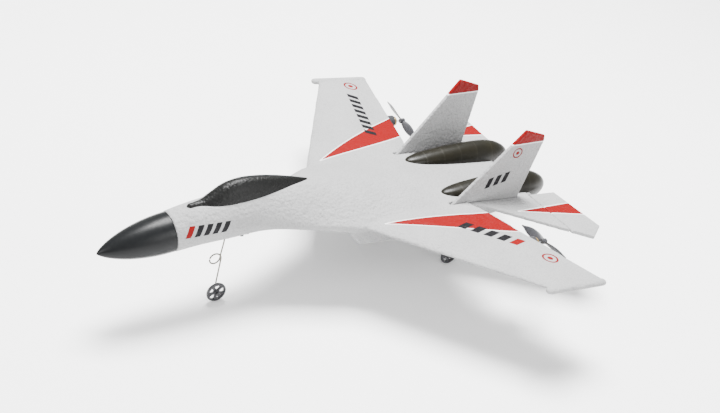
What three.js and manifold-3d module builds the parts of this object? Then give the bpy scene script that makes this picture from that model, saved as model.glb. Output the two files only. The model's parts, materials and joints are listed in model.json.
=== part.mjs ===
// A small radio-controlled foam jet: a moulded twin-fin airframe with a pusher propeller behind
// each wing, on three wire legs. Lengths are millimetres. The airframe is laid out from its nose
// tip, with x to the aircraft's left, y aft and z up, and then stood on its wheels with the middle
// of its box above the origin.
import * as THREE from "three";
import { mergeVertices } from "three/addons/utils/BufferGeometryUtils.js";
import Module from "manifold-3d";

const wasm = await Module();
wasm.setup();

// ---------------------------------------------------------------- driving dimensions
const LEFT = 1;
const RIGHT = -1;
const SIDES = [
  { side: LEFT, name: "left" },
  { side: RIGHT, name: "right" },
];
const GAP = 0.3; // between pieces that touch on the real aircraft

// Nose cone, on an axis that droops from the body.
const NOSE = { length: 56, radius: 15.2, wall: 1.5, droop: THREE.MathUtils.degToRad(12.9), fullness: 0.75 };
const LEAN_END = 125; // how far back the body's outlines lean with the cone's base

// Body: height of the crown, belly and side edge, and the half width, at stations along y.
const BODY_FRONT = 55;
const BODY_END = 367;
const CROWN = [[55, 28], [65, 31.4], [75, 34.2], [96, 39.2], [110, 42], [135, 45.4], [165, 47.4], [205, 46.6],
  [250, 42.8], [290, 39.8], [367, 39.2]];
const BELLY = [[55, -2.8], [75, 1.2], [96, 3.8], [110, 6], [124, 9.2], [140, 11.6], [165, 11.4], [210, 11.4],
  [250, 15], [300, 24], [367, 29]];
const SIDE = [[55, 12.6], [75, 17.6], [96, 21], [110, 21.6], [124, 21], [135, 20.8], [150, 22],
  [165, 23.8], [195, 27.5], [250, 34.4], [290, 37.6], [367, 37.4]];
const HALF_WIDTH = [[55, 15.2], [75, 16.4], [100, 17.2], [118, 17.8], [135, 21.5], [150, 27.5], [165, 34],
  [180, 41], [195, 46.6], [240, 46.6], [300, 46.6], [350, 42], [367, 40.6]];
const EDGE_HALF_THICKNESS = [[55, 10], [110, 8], [135, 4.6], [165, 3.6], [195, 3.2], [290, 1.8], [367, 1.7]];
const EDGE_ROUNDNESS = [[55, 1], [110, 1], [150, 0.6], [200, 0.5], [367, 0.35]];
const HUMP_FALL = [[55, 1], [105, 1], [135, 1.7], [165, 2.6], [200, 3], [367, 3]];
const KEEL_FALL = [[55, 1], [112, 1], [138, 2], [165, 1.8], [200, 1.4], [367, 1.4]];

// Wing sections from root to tip: where the nose and tail of each lie, and its thickness.
const WING_SECTIONS = [
  { x: 30, noseY: 185, noseZ: 25.2, tailY: 290.3, tailZ: 38, thickness: 8 },
  { x: 62, noseY: 206.6, noseZ: 29, tailY: 299.6, tailZ: 40.9, thickness: 7 },
  { x: 170, noseY: 279.6, noseZ: 41.6, tailY: 330.7, tailZ: 42.6, thickness: 4.6 },
];
const WING_STATIONS = [30, 46, 62, 89, 116, 143, 170];
const TRAILING_EDGE_THICKNESS = 1.6;
const TIP_RAIL = { x: 170.2, front: 271.6, back: 331.4, z: 42.2, halfWidth: 3.6, halfHeight: 2.6 };

// Intake ducts under the wing roots, seen from the side.
const DUCT = { inner: 18.6, outer: 37.4, bevel: 2 };
const DUCT_OUTLINE = [[186.5, 21], [202.5, 6], [256, 6.4], [366, 27], [366, 37], [290, 35], [205, 27]];

// Tailplane, fixed part and elevator, seen from above.
const TAIL_Z = 37.6;
const TAIL_THICKNESS = 3.4;
const TAIL_OUTLINE = [[30, 285], [46, 303], [97.3, 362], [30, 362]];
const HINGE_Y = 364;
const ELEVATOR_ROOT = 41.6;
const ELEVATOR_OUTLINE = [[ELEVATOR_ROOT, HINGE_Y], [99, HINGE_Y], [110.2, 376.8], [97, 394.7],
  [ELEVATOR_ROOT, 390.6]];
const SOFT_EDGE = 0.8; // rounding of the foam plates' edges

// Fins, seen from the side, and where they stand.
const FIN_OUTLINE = [[278.2, 34.4], [331.4, 104.1], [352.7, 98.6], [353.8, 94], [348.4, 34.4]];
const FIN = { x: 41.2, thickness: 3, cant: THREE.MathUtils.degToRad(3.8), slotDepth: 4.4 };
const DECK_Z = 38.8;

// Engine covers: radius about an axis level with the deck, at stations along y, and how wide
// each station is for its height.
const COVER = { x: 26.4, z: DECK_Z, wall: 0.9, wrapFrom: BODY_END + 1 };
const COVER_SPREAD = [[280.4, 1.4], [292, 1.34], [308, 1.12], [334, 0.88], [357, 0.78], [390.6, 0.78]];
const COVER_RADIUS = [[280.4, 1.2], [283.5, 3.2], [292, 5.6], [308, 8.7], [334, 12.6], [357, 14.6],
  [370, 13.9], [380, 11], [387, 6.8], [390.6, 2]];

// Canopy: station, half width at its foot, and crown height. Its foot is under the body's crown.
const CANOPY_FRAMES = [[65.4, 1.6, 33], [66.6, 3.6, 34.6], [71, 4.4, 35.6], [77, 5.8, 37.4], [84, 7.8, 42.2],
  [94, 9.4, 49.4], [106, 9.8, 53], [120, 9.1, 53.8], [134, 7.7, 53], [147, 5.7, 51.4], [158, 3.3, 49.6],
  [164.8, 1.2, 48.4]];
const CANOPY_FOOT = { depth: 5, keel: 2 };

// Drive: motor cans under the trailing edges, each turning a two-blade propeller.
const DRIVE = { x: 101.9, z: 34.9 };
const MOTOR = { radius: 4.25, front: 301, back: 321, shaftRadius: 0.5, shaftBack: 331.6 };
const CAP = { radius: 4.25, length: 1.6, bore: 1.1 };
const MOUNT = { wall: 0.8, front: 300, back: 318.5, saddleHalfWidth: 3.6, saddleFront: 294,
  saddleTop: 5.4, saddleDepth: 2.5, saddleLap: 10 };
const PROPELLER = { y: 329.6, radius: 27, hubRadius: 2.3, hubLength: 5 };
// A blade's chords and half thicknesses in millimetres and its pitches in degrees, root and tip.
const BLADE = { root: 3.4, chord: 7.4, narrowing: 0.7, thick: 0.75, thin: 0.35, rootPitch: -52,
  tipPitch: -16 };
const PROPELLER_REST = { left: 3.3, right: 11.8 }; // degrees that the outboard blade stands up at rest

// Undercarriage.
const WHEEL = { radius: 8.2, width: 3.2, rim: 6.3, hubRadius: 2, hubWidth: 4, bore: 0.95, spokes: 5,
  spokeShare: 0.46 };
const WIRE_RADIUS = 0.6;
const COLLAR = { radius: 1.5, length: 1.6 };
const NOSE_LEG = { y: 103.2, topZ: 9, mouthZ: 3.5, axleZ: -45.6, coilZ: -17, coilRadius: 4.6,
  splitDegrees: 14 };
const MAIN_LEG = { x: 27, y: 305.6, topZ: 27, mouthZ: 15.4, axleZ: -20.9 };
const SOCKET = { radius: 3, flangeRadius: 4.2, flange: 0.6, cap: 1 };
const SOCKET_DEPTH = SOCKET.cap + 0.4;

// Battery bay in the belly, its plastic box, and what the box holds.
const BAY = { front: 160, back: 206, halfWidth: 13.4, floorZ: 11.6, ceilingZ: 31, wall: 1.2, flange: 2.4,
  flatHalfWidth: 17.6, flatMargin: 8 };
const HATCH = { thickness: 1.4, hingeRadius: 1.1 };
const GRIP = { halfWidth: 5, front: 5, back: 3.6, depth: 0.8, root: 0.2 }; // from the rear edge
const BATTERY = { length: 34, width: 18.4, height: 7.2, aft: 3, edge: 1.4 };
const BOARD = { length: 34, width: 20, thickness: 1, aft: 2, drop: 2.4 };
// Parts under the receiver board: x, y, width, length and height.
const CHIPS = [[-6, -12, 6, 6, 1.2], [4, -10, 4.4, 4.4, 1.6], [-5, 2, 5, 3, 1.4], [5, 4, 3, 5, 1],
  [2, 12, 9, 3, 1.8]];
const LEAD_RADIUS = 0.8;
const CHANNEL_RADIUS = LEAD_RADIUS + 0.7;

// Power switch, on the lower left of the body behind the nose leg.
const SWITCH = { y: 113, x: 8.4, z: 7.7, tilt: THREE.MathUtils.degToRad(31), length: 8.6, width: 3.8,
  recess: 0.4, depth: 3.6 };
const KNOB = { length: 2.2, width: 1.8, top: 1.5, bottom: -0.8, travel: 2 };

// ---------------------------------------------------------------- materials
const finish = (color, roughness, metalness = 0) => new THREE.MeshStandardMaterial(
  { color, roughness, metalness });
const WHITE_FOAM = finish(0xd9dadb, 0.75);
const BLACK_FOAM = finish(0x15161a, 0.35);
const BLACK_PLASTIC = finish(0x17181a, 0.4);
const CLEAR_BLACK = finish(0x22231f, 0.25);
const SPRING_STEEL = finish(0x6f6a62, 0.35, 1);
const BRIGHT_STEEL = finish(0xb8b9bc, 0.25, 1);
const BRASS = finish(0xb08a4a, 0.35, 1);
const BOARD_GREEN = finish(0x1f5a37, 0.5);
const BATTERY_SLEEVE = finish(0x8f949b, 0.4);
const LEAD_RED = finish(0xa81c1c, 0.5);
const WHITE_PLASTIC = finish(0xe6e6e0, 0.45);

// ---------------------------------------------------------------- geometry helpers
// A closed geometry as a solid that can be joined and cut.
function solidOf(geometry) {
  const bare = geometry.index ? geometry.toNonIndexed() : geometry.clone();
  bare.deleteAttribute("normal");
  bare.deleteAttribute("uv");
  const merged = mergeVertices(bare, 1e-4);
  const triVerts = new Uint32Array(merged.index.array);
  const vertProperties = merged.attributes.position.array;
  const made = new wasm.Manifold(new wasm.Mesh({ numProp: 3, vertProperties, triVerts }));
  if (made.volume() > 0) return made;
  for (let i = 0; i < triVerts.length; i += 3) {
    [triVerts[i + 1], triVerts[i + 2]] = [triVerts[i + 2], triVerts[i + 1]];
  }
  return new wasm.Manifold(new wasm.Mesh({ numProp: 3, vertProperties, triVerts }));
}

// The largest piece of a solid, without the crumbs that a cut can leave.
function largest(solid) {
  return solid.decompose().sort((a, b) => b.volume() - a.volume())[0];
}

function geometryOf(solid) {
  const { vertProperties, triVerts } = solid.getMesh();
  const geometry = new THREE.BufferGeometry();
  geometry.setAttribute("position", new THREE.BufferAttribute(new Float32Array(vertProperties), 3));
  geometry.setIndex(new THREE.BufferAttribute(new Uint32Array(triVerts), 1));
  geometry.computeVertexNormals();
  return geometry;
}

const joined = (...solids) => solids.reduce((all, next) => all.add(next));
const mirrored = (solid, side) => (side === LEFT ? solid : solid.mirror([1, 0, 0]));
const moved = (geometry, x, y, z) => solidOf(geometry.translate(x, y, z));

// A box from its lowest to its highest corner.
function block([x0, y0, z0], [x1, y1, z1]) {
  const box = new THREE.BoxGeometry(x1 - x0, y1 - y0, z1 - z0);
  return moved(box, (x0 + x1) / 2, (y0 + y1) / 2, (z0 + z1) / 2);
}

// A rod between two points.
function rod(from, to, radius, sides = 16) {
  const start = new THREE.Vector3(...from);
  const along = new THREE.Vector3(...to).sub(start);
  const geometry = new THREE.CylinderGeometry(radius, radius, along.length(), sides);
  const upright = new THREE.Vector3(0, 1, 0);
  geometry.applyQuaternion(new THREE.Quaternion().setFromUnitVectors(upright, along.clone().normalize()));
  return moved(geometry, ...start.addScaledVector(along, 0.5).toArray());
}

const curveThrough = (points) => new THREE.CatmullRomCurve3(
  points.map((point) => new THREE.Vector3(...point)));

// A round wire along a curve.
function wire(curve, radius, steps, sides = 8) {
  const section = new THREE.Shape().absarc(0, 0, radius, 0, 2 * Math.PI);
  const tube = { steps, curveSegments: sides / 2, extrudePath: curve, bevelEnabled: false };
  return solidOf(new THREE.ExtrudeGeometry(section, tube));
}

// A ball that closes a bend in a round rod, a shade fuller than the rod.
const ball = (radius, at, sides = 8) => moved(
  new THREE.SphereGeometry(1.05 * radius, sides, sides - 2), ...at);

// A bent rod: straight between its points, with a ball at each bend.
function bentRod(points, radius, sides = 8) {
  const straights = points.slice(1).map((point, i) => rod(points[i], point, radius, sides));
  return joined(...straights, ...points.slice(1, -1).map((point) => ball(radius, point, sides)));
}

// A smooth line through [station, value] points, read at any station.
function lineThrough(points) {
  const slopeAt = (i) => {
    const before = points[Math.max(i - 1, 0)];
    const after = points[Math.min(i + 1, points.length - 1)];
    return (after[1] - before[1]) / (after[0] - before[0]);
  };
  return (station) => {
    const last = points.length - 2;
    const i = Math.min(Math.max(points.findIndex((p) => p[0] > station) - 1, 0), last);
    const at = station >= points[points.length - 1][0] ? last : i;
    const [[x0, v0], [x1, v1]] = [points[at], points[at + 1]];
    const t = (station - x0) / (x1 - x0);
    const [m0, m1] = [slopeAt(at) * (x1 - x0), slopeAt(at + 1) * (x1 - x0)];
    return (2 * t ** 3 - 3 * t ** 2 + 1) * v0 + (t ** 3 - 2 * t ** 2 + t) * m0
      + (3 * t ** 2 - 2 * t ** 3) * v1 + (t ** 3 - t ** 2) * m1;
  };
}

// A skin over rings of points with the same count, closed by a fan at each end.
function loft(rings) {
  const count = rings[0].length;
  const centreOf = (ring) => ring.reduce((sum, p) => sum.add(p), new THREE.Vector3()).divideScalar(count);
  const points = [...rings.flat(), centreOf(rings[0]), centreOf(rings[rings.length - 1])];
  const faces = [];
  for (let r = 0; r < rings.length - 1; r++) {
    for (let i = 0; i < count; i++) {
      const [a, b] = [r * count + i, r * count + ((i + 1) % count)];
      faces.push(a, b, b + count, a, b + count, a + count);
    }
  }
  const lastRing = (rings.length - 1) * count;
  const [firstCentre, lastCentre] = [points.length - 2, points.length - 1];
  for (let i = 0; i < count; i++) {
    faces.push(firstCentre, (i + 1) % count, i);
    faces.push(lastCentre, lastRing + i, lastRing + ((i + 1) % count));
  }
  const geometry = new THREE.BufferGeometry().setFromPoints(points);
  geometry.setIndex(faces);
  return solidOf(geometry);
}

// A plate with softened edges: an outline drawn on two axes, thickened evenly about the plane.
function plate(outline, thickness, bevel) {
  const shape = new THREE.Shape(outline.map(([u, v]) => new THREE.Vector2(u, v)));
  const depth = thickness - 2 * bevel;
  const edges = { bevelSize: bevel, bevelThickness: bevel, bevelOffset: -bevel, bevelSegments: 2 };
  const geometry = new THREE.ExtrudeGeometry(shape, { depth, steps: 1, ...edges, bevelEnabled: bevel > 0 });
  return geometry.translate(0, 0, -depth / 2);
}

// The same plate standing on edge along y, its outline drawn as [y, z].
const standingPlate = (outline, thickness, bevel) => plate(outline, thickness, bevel)
  .applyMatrix4(new THREE.Matrix4().makeBasis(
    new THREE.Vector3(0, 1, 0), new THREE.Vector3(0, 0, 1), new THREE.Vector3(1, 0, 0)));

// A round piece about a line along y, from [radius, y] points that start and end on the line.
const turned = (profile, sides = 24) => new THREE.LatheGeometry(
  profile.map((p) => new THREE.Vector2(...p)), sides);

const nodes = [];
function addNode(name, solid, material) {
  const mesh = new THREE.Mesh(geometryOf(largest(solid)), material);
  mesh.name = name;
  nodes.push(mesh);
}

// ---------------------------------------------------------------- foam airframe
const crown = lineThrough(CROWN);
const belly = lineThrough(BELLY);
const side = lineThrough(SIDE);
const halfWidth = lineThrough(HALF_WIDTH);
const edgeHalfThickness = lineThrough(EDGE_HALF_THICKNESS);
const edgeRoundness = lineThrough(EDGE_ROUNDNESS);
const humpFall = lineThrough(HUMP_FALL);
const keelFall = lineThrough(KEEL_FALL);

// The body's outline at one station: a hump above and a belly below, meeting in a rounded edge.
// The first stations lean with the nose cone's base.
function bodyRing(station, count) {
  const lean = Math.tan(NOSE.droop) * Math.max(0, (LEAN_END - station) / (LEAN_END - BODY_FRONT));
  const middle = side(station);
  const lip = edgeHalfThickness(station);
  return Array.from({ length: count }, (_, i) => {
    const angle = (2 * Math.PI * i) / count;
    const upright = Math.cos(angle);
    const share = Math.abs(upright);
    const reach = upright >= 0 ? crown(station) - middle : middle - belly(station);
    const fall = upright >= 0 ? humpFall(station) : keelFall(station);
    const rise = lip * share ** edgeRoundness(station) + (reach - lip) * share ** fall;
    const z = middle + Math.sign(upright) * rise;
    return new THREE.Vector3(halfWidth(station) * Math.sin(angle), station - (z - middle) * lean, z);
  });
}

function bodySolid() {
  const spans = 32;
  const stations = Array.from(
    { length: spans + 1 }, (_, i) => BODY_FRONT + ((BODY_END - BODY_FRONT) * i) / spans);
  return loft(stations.map((station) => bodyRing(station, 32)));
}

// Half thickness of a wing section, as a share of its greatest, from the nose (0) to the tail (1).
const sectionShape = (s) => (
  2.969 * Math.sqrt(s) - 1.26 * s - 3.516 * s ** 2 + 2.843 * s ** 3 - 1.015 * s ** 4);

function wingRing(x) {
  const outer = Math.max(WING_SECTIONS.findIndex((section) => section.x >= x), 1);
  const [from, to] = [WING_SECTIONS[outer - 1], WING_SECTIONS[outer]];
  const between = (key) => THREE.MathUtils.lerp(from[key], to[key], (x - from.x) / (to.x - from.x));
  const steps = 12;
  const point = (i, up) => {
    const s = (1 - Math.cos((Math.PI * i) / steps)) / 2;
    const least = i ? TRAILING_EDGE_THICKNESS / 2 : 0;
    const half = Math.max((between("thickness") / 2) * sectionShape(s), least);
    const y = THREE.MathUtils.lerp(between("noseY"), between("tailY"), s);
    return new THREE.Vector3(x, y, THREE.MathUtils.lerp(between("noseZ"), between("tailZ"), s) + up * half);
  };
  const upper = Array.from({ length: steps + 1 }, (_, i) => point(i, 1));
  const lower = Array.from({ length: steps }, (_, i) => point(steps - i, -1));
  return [...upper, ...lower];
}

function wingSolid() {
  const panel = loft(WING_STATIONS.map(wingRing));
  const { x, front, back, z, halfWidth: wide, halfHeight: high } = TIP_RAIL;
  const rail = new THREE.CapsuleGeometry(wide, back - front - 2 * wide, 4, 12).scale(1, 1, high / wide);
  return panel.add(moved(rail, x, (front + back) / 2, z));
}

const ductSolid = () => {
  const duct = standingPlate(DUCT_OUTLINE, DUCT.outer - DUCT.inner, DUCT.bevel);
  return moved(duct, (DUCT.inner + DUCT.outer) / 2, 0, 0);
};

const tailSolid = () => moved(plate(TAIL_OUTLINE, TAIL_THICKNESS, SOFT_EDGE), 0, 0, TAIL_Z);

// A fin in its place on the left side, before its thickness is chosen.
function finSolid(outline, thickness, bevel) {
  const fin = standingPlate(outline, thickness, bevel).translate(0, 0, -DECK_Z).rotateY(FIN.cant);
  return moved(fin, FIN.x, 0, DECK_Z);
}

function finSlot() {
  const [bottom, top] = [DECK_Z - FIN.slotDepth - GAP, DECK_Z + 9];
  const [front, back] = [FIN_OUTLINE[0][0] - GAP, FIN_OUTLINE[4][0] + 2 * GAP];
  const outline = [[front, bottom], [back, bottom], [back, top], [front, top]];
  return finSolid(outline, FIN.thickness + 2 * GAP, 0);
}

// The way that each motor's lead takes through the wing, from the bay box to the motor.
const LEAD_POINTS = [[BAY.halfWidth - 2, 192, 26.4], [BAY.halfWidth + 4, 192, 26.4], [34, 214, 29.4],
  [62, 249, 34.4], [88, 283, 37], [97, 294, 36.2], [DRIVE.x, 300.4, DRIVE.z]];
const leadCurve = curveThrough(LEAD_POINTS);
const leadChannel = () => wire(leadCurve, CHANNEL_RADIUS, 24);

// The groove in the wing's underside that the motor mount beds into.
const mountGroove = () => {
  const [front, back] = [MOUNT.front - GAP, MOUNT.back + GAP];
  const radius = MOTOR.radius + MOUNT.wall + 2 * GAP;
  return rod([DRIVE.x, front, DRIVE.z], [DRIVE.x, back, DRIVE.z], radius, 20);
};

const socketHole = (x, y, top) => rod([x, y, -30], [x, y, top + GAP], SOCKET.radius + GAP, 16);

// Turns a piece drawn pointing down at the origin so that it stands in the switch's place.
const atSwitch = (solid) => solid.rotate([0, -THREE.MathUtils.radToDeg(SWITCH.tilt), 0])
  .translate([SWITCH.x, SWITCH.y, SWITCH.z]);

const outerFoam = (() => {
  const half = joined(wingSolid(), ductSolid(), tailSolid());
  return joined(bodySolid(), half, half.mirror([1, 0, 0]));
})();

const foam = (() => {
  const flat = block(
    [-BAY.flatHalfWidth, BAY.front - BAY.flatMargin, -20],
    [BAY.flatHalfWidth, BAY.back + BAY.flatMargin, BAY.floorZ]);
  const pocketHalf = BAY.halfWidth + BAY.flange;
  const flangeRoom = HATCH.thickness + BAY.wall + 2 * GAP;
  const flange = block(
    [-pocketHalf - GAP, BAY.front - BAY.flange - GAP, 0],
    [pocketHalf + GAP, BAY.back + BAY.flange + GAP, BAY.floorZ + flangeRoom]);
  const bay = block(
    [-BAY.halfWidth - GAP, BAY.front - GAP, 0], [BAY.halfWidth + GAP, BAY.back + GAP, BAY.ceilingZ + GAP]);
  const cuts = [flat, flange, bay, socketHole(0, NOSE_LEG.y, NOSE_LEG.topZ + SOCKET_DEPTH)];
  for (const { side: hand } of SIDES) {
    cuts.push(...[finSlot(), leadChannel(), mountGroove()].map((solid) => mirrored(solid, hand)));
    cuts.push(socketHole(hand * MAIN_LEG.x, MAIN_LEG.y, MAIN_LEG.topZ + SOCKET_DEPTH));
  }
  const [wide, long] = [SWITCH.width / 2 + GAP, SWITCH.length / 2 + GAP];
  cuts.push(atSwitch(block([-wide, -long, -9], [wide, long, SWITCH.depth + GAP])));
  return largest(outerFoam.subtract(joined(...cuts)));
})();

// ---------------------------------------------------------------- nose, canopy and covers
function noseCone() {
  const steps = 8;
  const radiusAt = (s) => NOSE.radius * (1 - (1 - s) ** 2) ** NOSE.fullness;
  const outer = Array.from({ length: steps + 1 }, (_, i) => {
    const s = 1 - Math.cos((Math.PI * i) / steps / 2);
    return [radiusAt(s), NOSE.length * s];
  });
  const inner = outer.filter(([radius]) => radius > 3 * NOSE.wall)
    .map(([radius, y]) => [radius - NOSE.wall, y]).reverse();
  const profile = [...outer, ...inner, [0, inner[inner.length - 1][1]]];
  return solidOf(turned(profile, 24).rotateX(NOSE.droop));
}

function canopy() {
  const rings = CANOPY_FRAMES.map(([station, wide, top]) => {
    const foot = crown(station) - CANOPY_FOOT.depth;
    return Array.from({ length: 20 }, (_, i) => {
      const angle = (2 * Math.PI * i) / 20;
      const lift = Math.cos(angle) * (Math.cos(angle) >= 0 ? top - foot : CANOPY_FOOT.keel);
      return new THREE.Vector3(wide * Math.sin(angle), station, foot + lift);
    });
  });
  return loft(rings).subtract(outerFoam.translate([0, 0, GAP]));
}

// A cover's outside, or its hollow where a wall's thickness is taken off, closed below the deck.
function coverSolid(stations, wall) {
  const radius = lineThrough(COVER_RADIUS);
  const spread = lineThrough(COVER_SPREAD);
  return loft(stations.map((y) => Array.from({ length: 20 }, (_, i) => {
    const angle = (2 * Math.PI * i) / 20;
    const reach = Math.max(radius(y) - wall, 0.2);
    const wide = reach * spread(y);
    return new THREE.Vector3(COVER.x + wide * Math.sin(angle), y, COVER.z + reach * Math.cos(angle));
  })));
}

function engineCover() {
  const [front, back] = [COVER_RADIUS[0][0], COVER_RADIUS[COVER_RADIUS.length - 1][0]];
  const spans = 11;
  const stations = Array.from({ length: spans + 1 }, (_, i) => front + ((back - front) * i) / spans);
  const inner = stations.slice(1).filter((y) => y < back - 2 * COVER.wall);
  const below = block([0, front - 5, -10], [60, COVER.wrapFrom, COVER.z + GAP]);
  const cuts = joined(coverSolid(inner, COVER.wall), below, outerFoam.translate([0, 0, GAP]));
  return coverSolid(stations, 0).subtract(cuts);
}

addNode("foam_airframe", foam, WHITE_FOAM);
addNode("nose_cone", noseCone(), BLACK_PLASTIC);
addNode("canopy", canopy(), BLACK_FOAM);
for (const { side: hand, name } of SIDES) {
  addNode(`${name}_engine_cover`, mirrored(engineCover(), hand), CLEAR_BLACK);
  addNode(`${name}_fin`, mirrored(finSolid(FIN_OUTLINE, FIN.thickness, SOFT_EDGE), hand), WHITE_FOAM);
}

// ---------------------------------------------------------------- elevators
function elevator() {
  const radius = TAIL_THICKNESS / 2;
  const blade = moved(plate(ELEVATOR_OUTLINE, TAIL_THICKNESS, SOFT_EDGE), 0, 0, TAIL_Z);
  const [beadEnd] = ELEVATOR_OUTLINE[1];
  return blade.add(rod([ELEVATOR_ROOT, HINGE_Y, TAIL_Z], [beadEnd, HINGE_Y, TAIL_Z], radius, 20));
}

for (const { side: hand, name } of SIDES) {
  addNode(`${name}_elevator`, mirrored(elevator(), hand), WHITE_FOAM);
}

// ---------------------------------------------------------------- drive
// Each piece is drawn about the drive line, along y, and moved out to the left motor.
const atDrive = (solid) => solid.translate([DRIVE.x, 0, DRIVE.z]);
const ring = (outer, inner, front, back, sides = 20) => rod([0, front, 0], [0, back, 0], outer, sides)
  .subtract(rod([0, front - 1, 0], [0, back + 1, 0], inner, sides));

function motorMount() {
  const inner = MOTOR.radius + GAP;
  const outer = inner + MOUNT.wall;
  const wide = MOUNT.saddleHalfWidth;
  const saddle = block(
    [-wide, MOUNT.saddleFront, MOUNT.saddleTop - MOUNT.saddleDepth],
    [wide, MOUNT.front + MOUNT.saddleLap, MOUNT.saddleTop]);
  const bore = rod([0, MOUNT.front - 1, 0], [0, MOUNT.back + 1, 0], inner, 20);
  const leadRoom = block([-2, MOUNT.saddleFront - 1, -9], [2, MOUNT.front + 0.5, 2.4]);
  const foot = atDrive(saddle.subtract(joined(bore, leadRoom))).subtract(outerFoam.translate([0, 0, -GAP]));
  return foot.add(atDrive(ring(outer, inner, MOUNT.front, MOUNT.back)));
}

function motorCan() {
  const can = rod([0, MOTOR.front, 0], [0, MOTOR.back - CAP.length - GAP, 0], MOTOR.radius, 20);
  const way = rod([0, MOTOR.front + 4, 0], [0, MOTOR.back + 1, 0], MOTOR.shaftRadius + GAP, 12);
  return atDrive(can.subtract(way));
}

const motorCap = () => atDrive(ring(CAP.radius, CAP.bore, MOTOR.back - CAP.length, MOTOR.back));
const motorShaft = () => atDrive(
  rod([0, MOTOR.front + 5, 0], [0, MOTOR.shaftBack, 0], MOTOR.shaftRadius, 12));

// One blade, pointing along x: a thin section that widens, narrows and flattens towards its tip.
function blade() {
  const spans = 7;
  const rings = Array.from({ length: spans + 1 }, (_, i) => {
    const out = i / spans;
    const x = THREE.MathUtils.lerp(1, PROPELLER.radius, out);
    const swell = Math.sin(Math.PI * Math.min(out * 1.15, 1)) ** 0.8;
    const chord = BLADE.root + (BLADE.chord - BLADE.root) * swell - BLADE.root * BLADE.narrowing * out ** 6;
    const degrees = THREE.MathUtils.lerp(BLADE.rootPitch, BLADE.tipPitch, out ** 0.7);
    const [sine, cosine] = [Math.sin, Math.cos].map((f) => f(THREE.MathUtils.degToRad(degrees)));
    const half = THREE.MathUtils.lerp(BLADE.thick, BLADE.thin, out);
    return Array.from({ length: 10 }, (_, k) => {
      const angle = (2 * Math.PI * k) / 10;
      const [u, v] = [(chord / 2) * Math.cos(angle), half * Math.sin(angle)];
      return new THREE.Vector3(x, u * sine + v * cosine, u * cosine - v * sine);
    });
  });
  return loft(rings);
}

function propeller(restDegrees) {
  const half = PROPELLER.hubLength / 2;
  const hub = rod([0, -half, 0], [0, half, 0], PROPELLER.hubRadius, 16);
  const bore = rod([0, -half - 1, 0], [0, half + 1, 0], MOTOR.shaftRadius + GAP, 12);
  const pair = joined(hub, blade(), blade().rotate([0, 180, 0])).subtract(bore);
  return pair.rotate([0, -restDegrees, 0]).translate([DRIVE.x, PROPELLER.y, DRIVE.z]);
}

for (const { side: hand, name } of SIDES) {
  addNode(`${name}_motor_mount`, mirrored(motorMount(), hand), BLACK_PLASTIC);
  addNode(`${name}_motor_can`, mirrored(motorCan(), hand), BRIGHT_STEEL);
  addNode(`${name}_motor_cap`, mirrored(motorCap(), hand), BRASS);
  addNode(`${name}_motor_shaft`, mirrored(motorShaft(), hand), BRIGHT_STEEL);
  addNode(`${name}_propeller`, mirrored(propeller(PROPELLER_REST[name]), hand), BLACK_PLASTIC);
  addNode(`${name}_motor_lead`, mirrored(wire(leadCurve, LEAD_RADIUS, 24, 6), hand), LEAD_RED);
}

// ---------------------------------------------------------------- undercarriage
const arcPoints = (radius, from, to, steps) => Array.from({ length: steps + 1 }, (_, i) => {
  const angle = THREE.MathUtils.lerp(from, to, i / steps);
  return new THREE.Vector2(radius * Math.cos(angle), radius * Math.sin(angle));
});

// A wheel about a line along x: rim, spokes and hub in one moulding.
function wheel() {
  const disc = new THREE.Shape(arcPoints(WHEEL.radius, 0, 2 * Math.PI, 30).slice(0, -1));
  const sector = (2 * Math.PI) / WHEEL.spokes;
  for (let i = 0; i < WHEEL.spokes; i++) {
    const [from, to] = [(i + WHEEL.spokeShare / 2) * sector, (i + 1 - WHEEL.spokeShare / 2) * sector];
    const [rim, root] = [WHEEL.rim, WHEEL.hubRadius + 0.7];
    disc.holes.push(new THREE.Path([...arcPoints(rim, from, to, 4), ...arcPoints(root, to, from, 2)]));
  }
  const bevel = 0.6;
  const edges = { bevelSize: bevel, bevelThickness: bevel, bevelOffset: -bevel, bevelSegments: 1 };
  const body = new THREE.ExtrudeGeometry(disc, { depth: WHEEL.width - 2 * bevel, ...edges })
    .translate(0, 0, bevel - WHEEL.width / 2).rotateY(Math.PI / 2);
  const half = WHEEL.hubWidth / 2;
  const hub = rod([-half, 0, 0], [half, 0, 0], WHEEL.hubRadius, 15);
  return joined(solidOf(body), hub).subtract(rod([-half - 1, 0, 0], [half + 1, 0, 0], WHEEL.bore, 12));
}

const collar = () => rod([0, 0, 0], [COLLAR.length, 0, 0], COLLAR.radius, 12)
  .subtract(rod([-1, 0, 0], [COLLAR.length - 0.4, 0, 0], WIRE_RADIUS + GAP, 12));

// A plastic plug that holds a leg's wire in the foam, its flange outside.
function socket(x, y, bottom, top) {
  const plug = joined(
    rod([x, y, bottom], [x, y, top + SOCKET.cap], SOCKET.radius, 16),
    rod([x, y, bottom - SOCKET.flange], [x, y, bottom], SOCKET.flangeRadius, 16));
  return plug.subtract(rod([x, y, bottom - 5], [x, y, top], WIRE_RADIUS + GAP, 12));
}

// How far outboard of its leg a wheel turns, and where the axle and its collar end.
const WHEEL_OFFSET = WIRE_RADIUS + 0.6 + WHEEL.hubWidth / 2;
const AXLE_END = WHEEL_OFFSET + WHEEL.hubWidth / 2 + GAP + COLLAR.length - 0.8;

// A leg's lower end: down the wire and out along the axle.
const legEnd = (x, y, from, axleZ) => bentRod(
  [[x, y, from], [x, y, axleZ], [x + AXLE_END, y, axleZ]], WIRE_RADIUS);

// The nose leg's spring coil is one turn ahead of the leg. The wire comes off it at both ends,
// and the turn is parted at the front so that the lower leg can swing about its middle.
const COIL_Y = NOSE_LEG.y - NOSE_LEG.coilRadius;
const COIL_STEP = WIRE_RADIUS + 0.25;

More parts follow.
